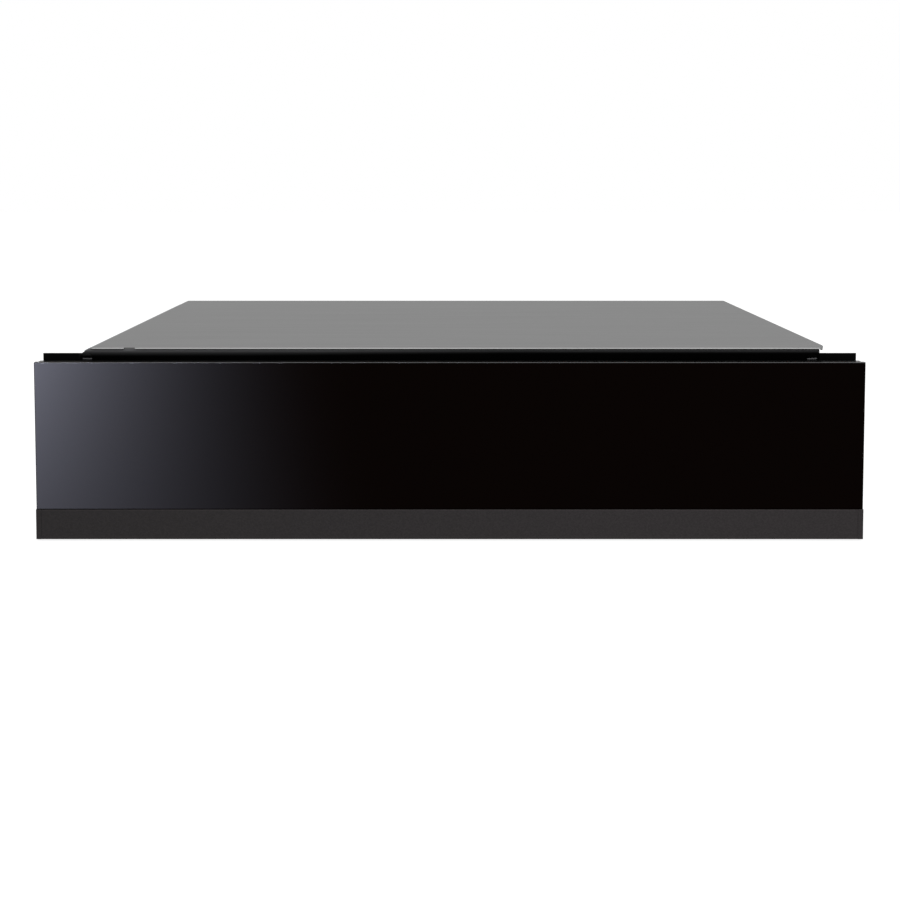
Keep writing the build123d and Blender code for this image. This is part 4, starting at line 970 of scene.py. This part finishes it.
class DRAWER_OT_fasteners(DrawerOperator):
    """Domed screws with a cross or a slot, and the runners' domed rivets"""

    bl_idname = "drawer.fasteners"
    bl_label = "Screws and rivets"

    def execute(self, context):
        sizes = context.scene.drawer_sizes
        for name, node, body, shape, finishes, turn, way in FASTENERS:
            mesh = bmesh.new()
            for index, (low, high) in enumerate(solids_of(node)):
                middle = (low + high) / 2
                heading = way or Vector((math.copysign(1, middle.x), 0, 0))
                extent = abs((high - low).dot(heading))
                seat = middle + heading * (extent / 2 - sizes.screw_rise)
                verts = shape(mesh, sizes, extent - sizes.screw_rise)
                placed(mesh, verts, heading, seat, spin=index * turn)
            piece(context, name, mesh, body, finishes, [node])
        return {"FINISHED"}


class DRAWER_OT_inlet(DrawerOperator):
    """The inlet's bush: a rounded flange and a raised collar round its bore"""

    bl_idname = "drawer.inlet"
    bl_label = "Inlet bush"

    # The outer face in millimetres: (from the bore, from the panel).
    FACE = ((0.0, 2.3), (0.4, 2.8), (1.7, 2.8), (2.3, 2.2), (3.0, 1.6), (6.6, 1.4), (7.4, 1.15),
            (7.9, 0.6))

    def execute(self, context):
        low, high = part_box("mains_inlet")
        flange = (high.x - low.x) / 2
        bore, barrel = flange / 3, flange / 1.5
        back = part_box("rear_panel")[1].y
        inside = low.y - back
        mesh = bmesh.new()
        # Out along the bore, over the face and back along the barrel, whose end is chamfered.
        outline = [(bore, inside)]
        outline += [(bore + across * MM, out * MM) for across, out in self.FACE]
        outline += [(flange, 0.0), (barrel, 0.0), (barrel, inside + MM),
                    (barrel - 0.8 * MM, inside), (bore, inside)]
        verts = turned(mesh, outline, 48)
        placed(mesh, verts, BACK, front_middle("mains_inlet", back))
        piece(context, "inlet_bush", mesh, "casing", ["black_plastic"],
              ["mains_inlet"])
        return {"FINISHED"}


class DRAWER_OT_mat(DrawerOperator):
    """The silicone mat with its rim and rows of low studs"""

    bl_idname = "drawer.mat"
    bl_label = "Mat"

    def execute(self, context):
        sizes = context.scene.drawer_sizes
        low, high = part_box("anti_slip_mat")
        top = high.z - sizes.mat_rise
        mesh = bmesh.new()
        block(mesh, low, (high.x, high.y, top))
        round_edges(mesh, running(mesh.edges, 2), sizes.mat_corner, 8)
        upper = [f for f in mesh.faces if f.calc_center_median().z > top - NEAR]
        rim = bmesh.ops.inset_region(
            mesh, faces=upper, thickness=sizes.mat_rim, depth=0.0, use_even_offset=True
        )["faces"]
        raised = bmesh.ops.extrude_face_region(mesh, geom=rim)["geom"]
        raised = [v for v in raised if isinstance(v, bmesh.types.BMVert)]
        bmesh.ops.translate(mesh, vec=(0, 0, sizes.mat_rise), verts=raised)
        self.studs(mesh, sizes, low, high, top)
        piece(context, "studded_mat", mesh, "drawer", ["silicone"],
              ["anti_slip_mat"])
        return {"FINISHED"}

    def studs(self, mesh, sizes, low, high, top):
        """Rows of studs, each second row half a pitch along."""
        pitch, stud, rise = sizes.mat_pitch, sizes.mat_stud, sizes.mat_rise
        # The rows lie about as close as in a pattern of equal triangles.
        step = pitch * 0.87
        room = high - low - Vector((2, 2, 0)) * sizes.mat_margin
        columns = int((room.x - pitch / 2) / pitch) + 1
        pairs = int((room.y / step + 1) / 2)
        reach = Vector(((columns - 0.5) * pitch, (2 * pairs - 1) * step, 0))
        first = (low + high - reach) / 2
        first.z = top + 0.5 * rise
        known = set(mesh.verts)
        for offset in ((0, 0, 0), (pitch / 2, step, 0)):
            bmesh.ops.create_cone(
                mesh, cap_ends=True, cap_tris=False, segments=8, radius1=stud,
                radius2=0.8 * stud, depth=rise, matrix=Matrix.Translation(first + Vector(offset)),
            )
        for way, count in (((pitch, 0, 0), columns), ((0, 2 * step, 0), pairs)):
            made = new_verts(mesh, known)
            bmesh.ops.spin(
                mesh, geom=made + edges_of(made) + faces_of(made), cent=(0, 0, 0),
                axis=(0, 0, 1), dvec=way, angle=0.0, steps=count - 1, use_merge=False,
                use_duplicate=True,
            )


class DRAWER_OT_controls(DrawerOperator):
    """The knob's inlay, the marks round it, the rocker's marks and the lamp's bezel"""

    bl_idname = "drawer.controls"
    bl_label = "Control marks"

    # The dial's numbers, with a short tick between each two.
    NUMBERS = ("0", "40", "50", "60", "70", "80")

    def execute(self, context):
        sizes = context.scene.drawer_sizes
        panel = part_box("control_panel")[0].y
        self.inlay(context)
        self.dial(context, sizes, front_middle("control_knob", panel))
        self.rocker(context, sizes)
        self.bezel(context, front_middle("pilot_lamp", panel))
        return {"FINISHED"}

    def inlay(self, context):
        """A white strip in the knob's pointer groove."""
        low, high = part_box("control_knob")
        middle = (low.x + high.x) / 2
        # Half its width, its two ends under the knob's rim, and its face and seat in the groove.
        half, outer, inner = 0.7 * MM, 2.1 * MM, 10.9 * MM
        face, seat = 0.15 * MM, 0.6 * MM
        mesh = bmesh.new()
        verts = block(mesh, (middle - half, low.y + face, high.z - inner),
                      (middle + half, low.y + seat, high.z - outer))
        round_edges(mesh, edges_of(verts), 0.1 * MM, 2)
        piece(context, "knob_inlay", mesh, "knob", ["pale_print"])

    def dial(self, context, sizes, centre):
        """Ticks over the knob's sweep, with a number at every second one."""
        sweep = math.radians(joint_of("knob_turn")["range_deg"][1])
        half, rise, ring = 0.22 * MM, sizes.mark_rise, sizes.tick_ring
        long, short = 1.8 * MM, 1.1 * MM
        ticks = 2 * len(self.NUMBERS) - 1
        mesh = bmesh.new()
        for tick in range(ticks):
            numbered = tick % 2 == 0
            turn = sweep * tick / (ticks - 1)
            end = ring + (long if numbered else short)
            verts = block(mesh, (-half, -rise, ring), (half, 0.5 * rise, end))
            turning = Matrix.Rotation(turn, 4, "Y")
            bmesh.ops.transform(mesh, matrix=Matrix.Translation(centre) @ turning, verts=verts)
            if numbered:
                out = Vector((math.sin(turn), 0.0, math.cos(turn))) * sizes.number_ring
                place = Matrix.Translation(centre + out) @ Matrix.Rotation(math.pi / 2, 4, "X")
                lettering(mesh, self.NUMBERS[tick // 2], sizes.mark, rise, place)
        piece(context, "dial_marks", mesh, "casing", ["pale_print"])

    def rocker(self, context, sizes):
        """I and O on the rocker's two flats, which slope in to its middle."""
        joint = joint_of("rocker_tilt")
        rest = math.radians(joint["range_deg"][1] / 2)
        stem, dish, half = 5.3 * MM, 1.4 * MM, 7.3 * MM
        pin = Matrix.Translation(joint["pos_m"]) @ Matrix.Rotation(rest, 4, "X")
        mesh = bmesh.new()
        for text, side in (("I", 1), ("O", -1)):
            slope = math.atan2(dish, half) * side
            place = pin @ Matrix.Translation((0, dish / 2 - stem, side * half / 2))
            place = place @ Matrix.Rotation(slope + math.pi / 2, 4, "X")
            lettering(mesh, text, sizes.mark, sizes.mark_rise, place)
        piece(context, "rocker_marks", mesh, "rocker", ["pale_print"])

    def bezel(self, context, centre):
        """A thin bright ring round the lamp's lens."""
        low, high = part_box("pilot_lamp")
        radius = (high.x - low.x) / 2
        # Millimetres from the lens and from the panel.
        profile = ((0.02, 0.0), (1.1, 0.0), (1.1, 0.4), (0.8, 0.8), (0.3, 0.9), (0.02, 0.7),
                   (0.02, 0.0))
        mesh = bmesh.new()
        verts = turned(mesh, [(radius + out * MM, rise * MM) for out, rise in profile], 40)
        placed(mesh, verts, -BACK, centre)
        piece(context, "lamp_bezel", mesh, "casing", ["cage_steel"])


# ---------------------------------------------------------------- stage
WHITE = (1.0, 1.0, 1.0, 1.0)
FLOOR_HALF = 12.0
FLOOR_GREY = (0.42, 0.42, 0.42, 1.0)
FLOOR_GLOW = 0.80
BACKDROP_LIGHT = 0.55
CAMERA_SHIFT = (0.0028, -0.12)
# Two corners of the card that the glass mirrors, and its bluish light.
CARD_LOW = Vector((-0.70, -1.5, -0.30))
CARD_HIGH = Vector((-0.08, -1.5, 0.08))
CARD_TINT = (0.77, 0.80, 1.0, 1.0)
# Name, place, size and the stage's value of its power.
LAMPS = (
    ("top lamp", (0.0, -0.5, 2.2), (2.6, 2.0), "top_light"),
    ("left lamp", (-2.2, -1.6, 1.2), (1.6, 1.6), "left_light"),
    ("right lamp", (2.2, -1.2, 1.2), (1.6, 1.6), "right_light"),
)
LAMP_TARGET = Vector((0.0, 0.0, 0.05))


def seen_rays(tree):
    """1 for camera, glossy and transmission rays, 0 for the rays that light the object."""
    path = tree.nodes.new("ShaderNodeLightPath").outputs
    total = path["Is Camera Ray"]
    for name in ("Is Glossy Ray", "Is Transmission Ray"):
        inputs = {0: total, 1: path[name]}
        total = add_node(tree, "ShaderNodeMath", inputs, operation="MAXIMUM").outputs[0]
    return total


class DRAWER_OT_stage(DrawerOperator):
    """The floor, the backdrop's light, the lamps and the camera"""

    bl_idname = "drawer.stage"
    bl_label = "Stage"

    def execute(self, context):
        context.scene.view_settings.view_transform = "Standard"
        stage = context.scene.drawer_stage
        self.floor(context)
        self.world(context.scene)
        self.card(context, stage.left_glow)
        for name, place, size, power in LAMPS:
            self.lamp(context, name, place, size, getattr(stage, power))
        self.camera(context, stage)
        return {"FINISHED"}

    def camera(self, context, stage):
        data = bpy.data.cameras.new("camera")
        data.sensor_width = 36.0
        data.lens = stage.lens
        data.shift_x, data.shift_y = CAMERA_SHIFT
        data.clip_start, data.clip_end = 0.01, 50.0
        camera = linked(context, "camera", data)
        camera.location = stage.camera_place
        camera.rotation_euler = (math.pi / 2 - stage.camera_pitch, 0.0, 0.0)
        context.scene.camera = camera

    def lamp(self, context, name, place, size, power):
        data = bpy.data.lights.new(name, "AREA")
        data.shape = "RECTANGLE"
        data.size, data.size_y = size
        data.energy = power
        made = linked(context, name, data)
        made.location = place
        made.rotation_euler = (LAMP_TARGET - Vector(place)).to_track_quat("-Z", "Y").to_euler()

    def sheet(self, context, name, half, material, matrix=Matrix()):
        """A level square of that half width, moved by a matrix, as a new object in the scene."""
        mesh = bmesh.new()
        bmesh.ops.create_grid(mesh, x_segments=1, y_segments=1, size=half, matrix=matrix)
        data = bpy.data.meshes.new(name)
        mesh.to_mesh(data)
        mesh.free()
        data.materials.append(material)
        made = linked(context, name, data)
        return made

    def card(self, context, strength):
        """A soft light card low in front on the left, which only the glass mirrors."""
        low, high = CARD_LOW, CARD_HIGH
        glow = Finish("Light card", (0, 0, 0), 1.0)
        # It is brightest at its upper left and fades to nothing at its right, faster at its top.
        across = glow.spread(glow.along("X"), low.x, high.x, 1.0, 0.0)
        up = glow.along("Z")
        fall = glow.math("POWER", across, glow.spread(up, low.z, high.z, 1.93, 3.67))
        rise = glow.math("EXPONENT", glow.spread(up, low.z, high.z, -0.875, 0.85))
        inputs = {"Color": CARD_TINT, "Strength": glow.product(fall, rise, strength)}
        light_out = glow.node("ShaderNodeEmission", inputs).outputs[0]
        clear = glow.node("ShaderNodeBsdfTransparent").outputs[0]
        surface = glow.node("ShaderNodeAddShader", {0: light_out, 1: clear}).outputs[0]
        feed(glow.tree, glow.tree.nodes["Material Output"].inputs["Surface"], surface)
        glow.tree.nodes.remove(glow.shader)
        upright = Matrix.Rotation(math.pi / 2, 4, "X")
        stretch = Matrix.Diagonal((high.x - low.x, 1.0, high.z - low.z, 1.0))
        matrix = Matrix.Translation((low + high) / 2) @ stretch @ upright
        made = self.sheet(context, "light card", 0.5, glow.material, matrix)
        made.visible_camera = False
        made.visible_diffuse = False
        made.visible_shadow = False
        made.visible_transmission = False
        lit = bpy.data.collections.new("lit by the card")
        lit.objects.link(bpy.data.objects["glass_pane"])
        made.light_linking.receiver_collection = lit

    def floor(self, context):
        """A pale matt floor, white to the camera, which no gloss mirrors."""
        material = bpy.data.materials.new("Pale floor")
        material.use_nodes = True
        tree = material.node_tree
        tree.nodes.clear()
        matt = add_node(tree, "ShaderNodeBsdfDiffuse", {"Color": FLOOR_GREY}).outputs[0]
        glow = add_node(tree, "ShaderNodeEmission", {"Strength": FLOOR_GLOW}).outputs[0]
        pale = add_node(tree, "ShaderNodeAddShader", {0: matt, 1: glow}).outputs[0]
        inputs = {0: seen_rays(tree), 1: matt, 2: pale}
        surface = add_node(tree, "ShaderNodeMixShader", inputs).outputs[0]
        add_node(tree, "ShaderNodeOutputMaterial", {"Surface": surface})
        made = self.sheet(context, "floor", FLOOR_HALF, material)
        made.visible_glossy = False

    def world(self, scene):
        """A backdrop that is white where it is seen and gives a dimmer light."""
        world = scene.world or bpy.data.worlds.new("backdrop")
        scene.world = world
        world.use_nodes = True
        tree = world.node_tree
        tree.nodes.clear()
        inputs = {0: seen_rays(tree)}
        for socket, strength in ((1, BACKDROP_LIGHT), (2, 1.0)):
            colour_in = {"Color": WHITE, "Strength": strength}
            inputs[socket] = add_node(tree, "ShaderNodeBackground", colour_in).outputs[0]
        surface = add_node(tree, "ShaderNodeMixShader", inputs).outputs[0]
        add_node(tree, "ShaderNodeOutputWorld", {"Surface": surface})


OPERATORS = (
    DRAWER_OT_finishes,
    DRAWER_OT_glass,
    DRAWER_OT_trim,
    DRAWER_OT_fasteners,
    DRAWER_OT_inlet,
    DRAWER_OT_mat,
    DRAWER_OT_controls,
    DRAWER_OT_stage,
)
GROUPS = {
    "drawer_sizes": DrawerSizes,
    "drawer_colours": DrawerColours,
    "drawer_stage": DrawerStage,
}


class DRAWER_PT_panel(bpy.types.Panel):
    """Lists the sizes, the colours and the steps that build the drawer's looks"""

    bl_idname = "DRAWER_PT_panel"
    bl_label = "Warming Drawer"
    bl_space_type = "VIEW_3D"
    bl_region_type = "UI"
    bl_category = "Warming Drawer"

    def draw(self, context):
        layout = self.layout
        for group in GROUPS:
            values = getattr(context.scene, group)
            column = layout.column(align=True)
            for name in values.__annotations__:
                column.prop(values, name)
        for operator in OPERATORS:
            layout.operator(operator.bl_idname)


CLASSES = (*GROUPS.values(), *OPERATORS, DRAWER_PT_panel)


def register():
    for each in CLASSES:
        bpy.utils.register_class(each)
    for name, group in GROUPS.items():
        setattr(bpy.types.Scene, name, PointerProperty(type=group))


def unregister():
    for name in GROUPS:
        delattr(bpy.types.Scene, name)
    for each in reversed(CLASSES):
        bpy.utils.unregister_class(each)


def main():
    register()
    for operator in OPERATORS:
        group, name = operator.bl_idname.split(".")
        getattr(getattr(bpy.ops, group), name)()


if __name__ == "__main__":
    main()
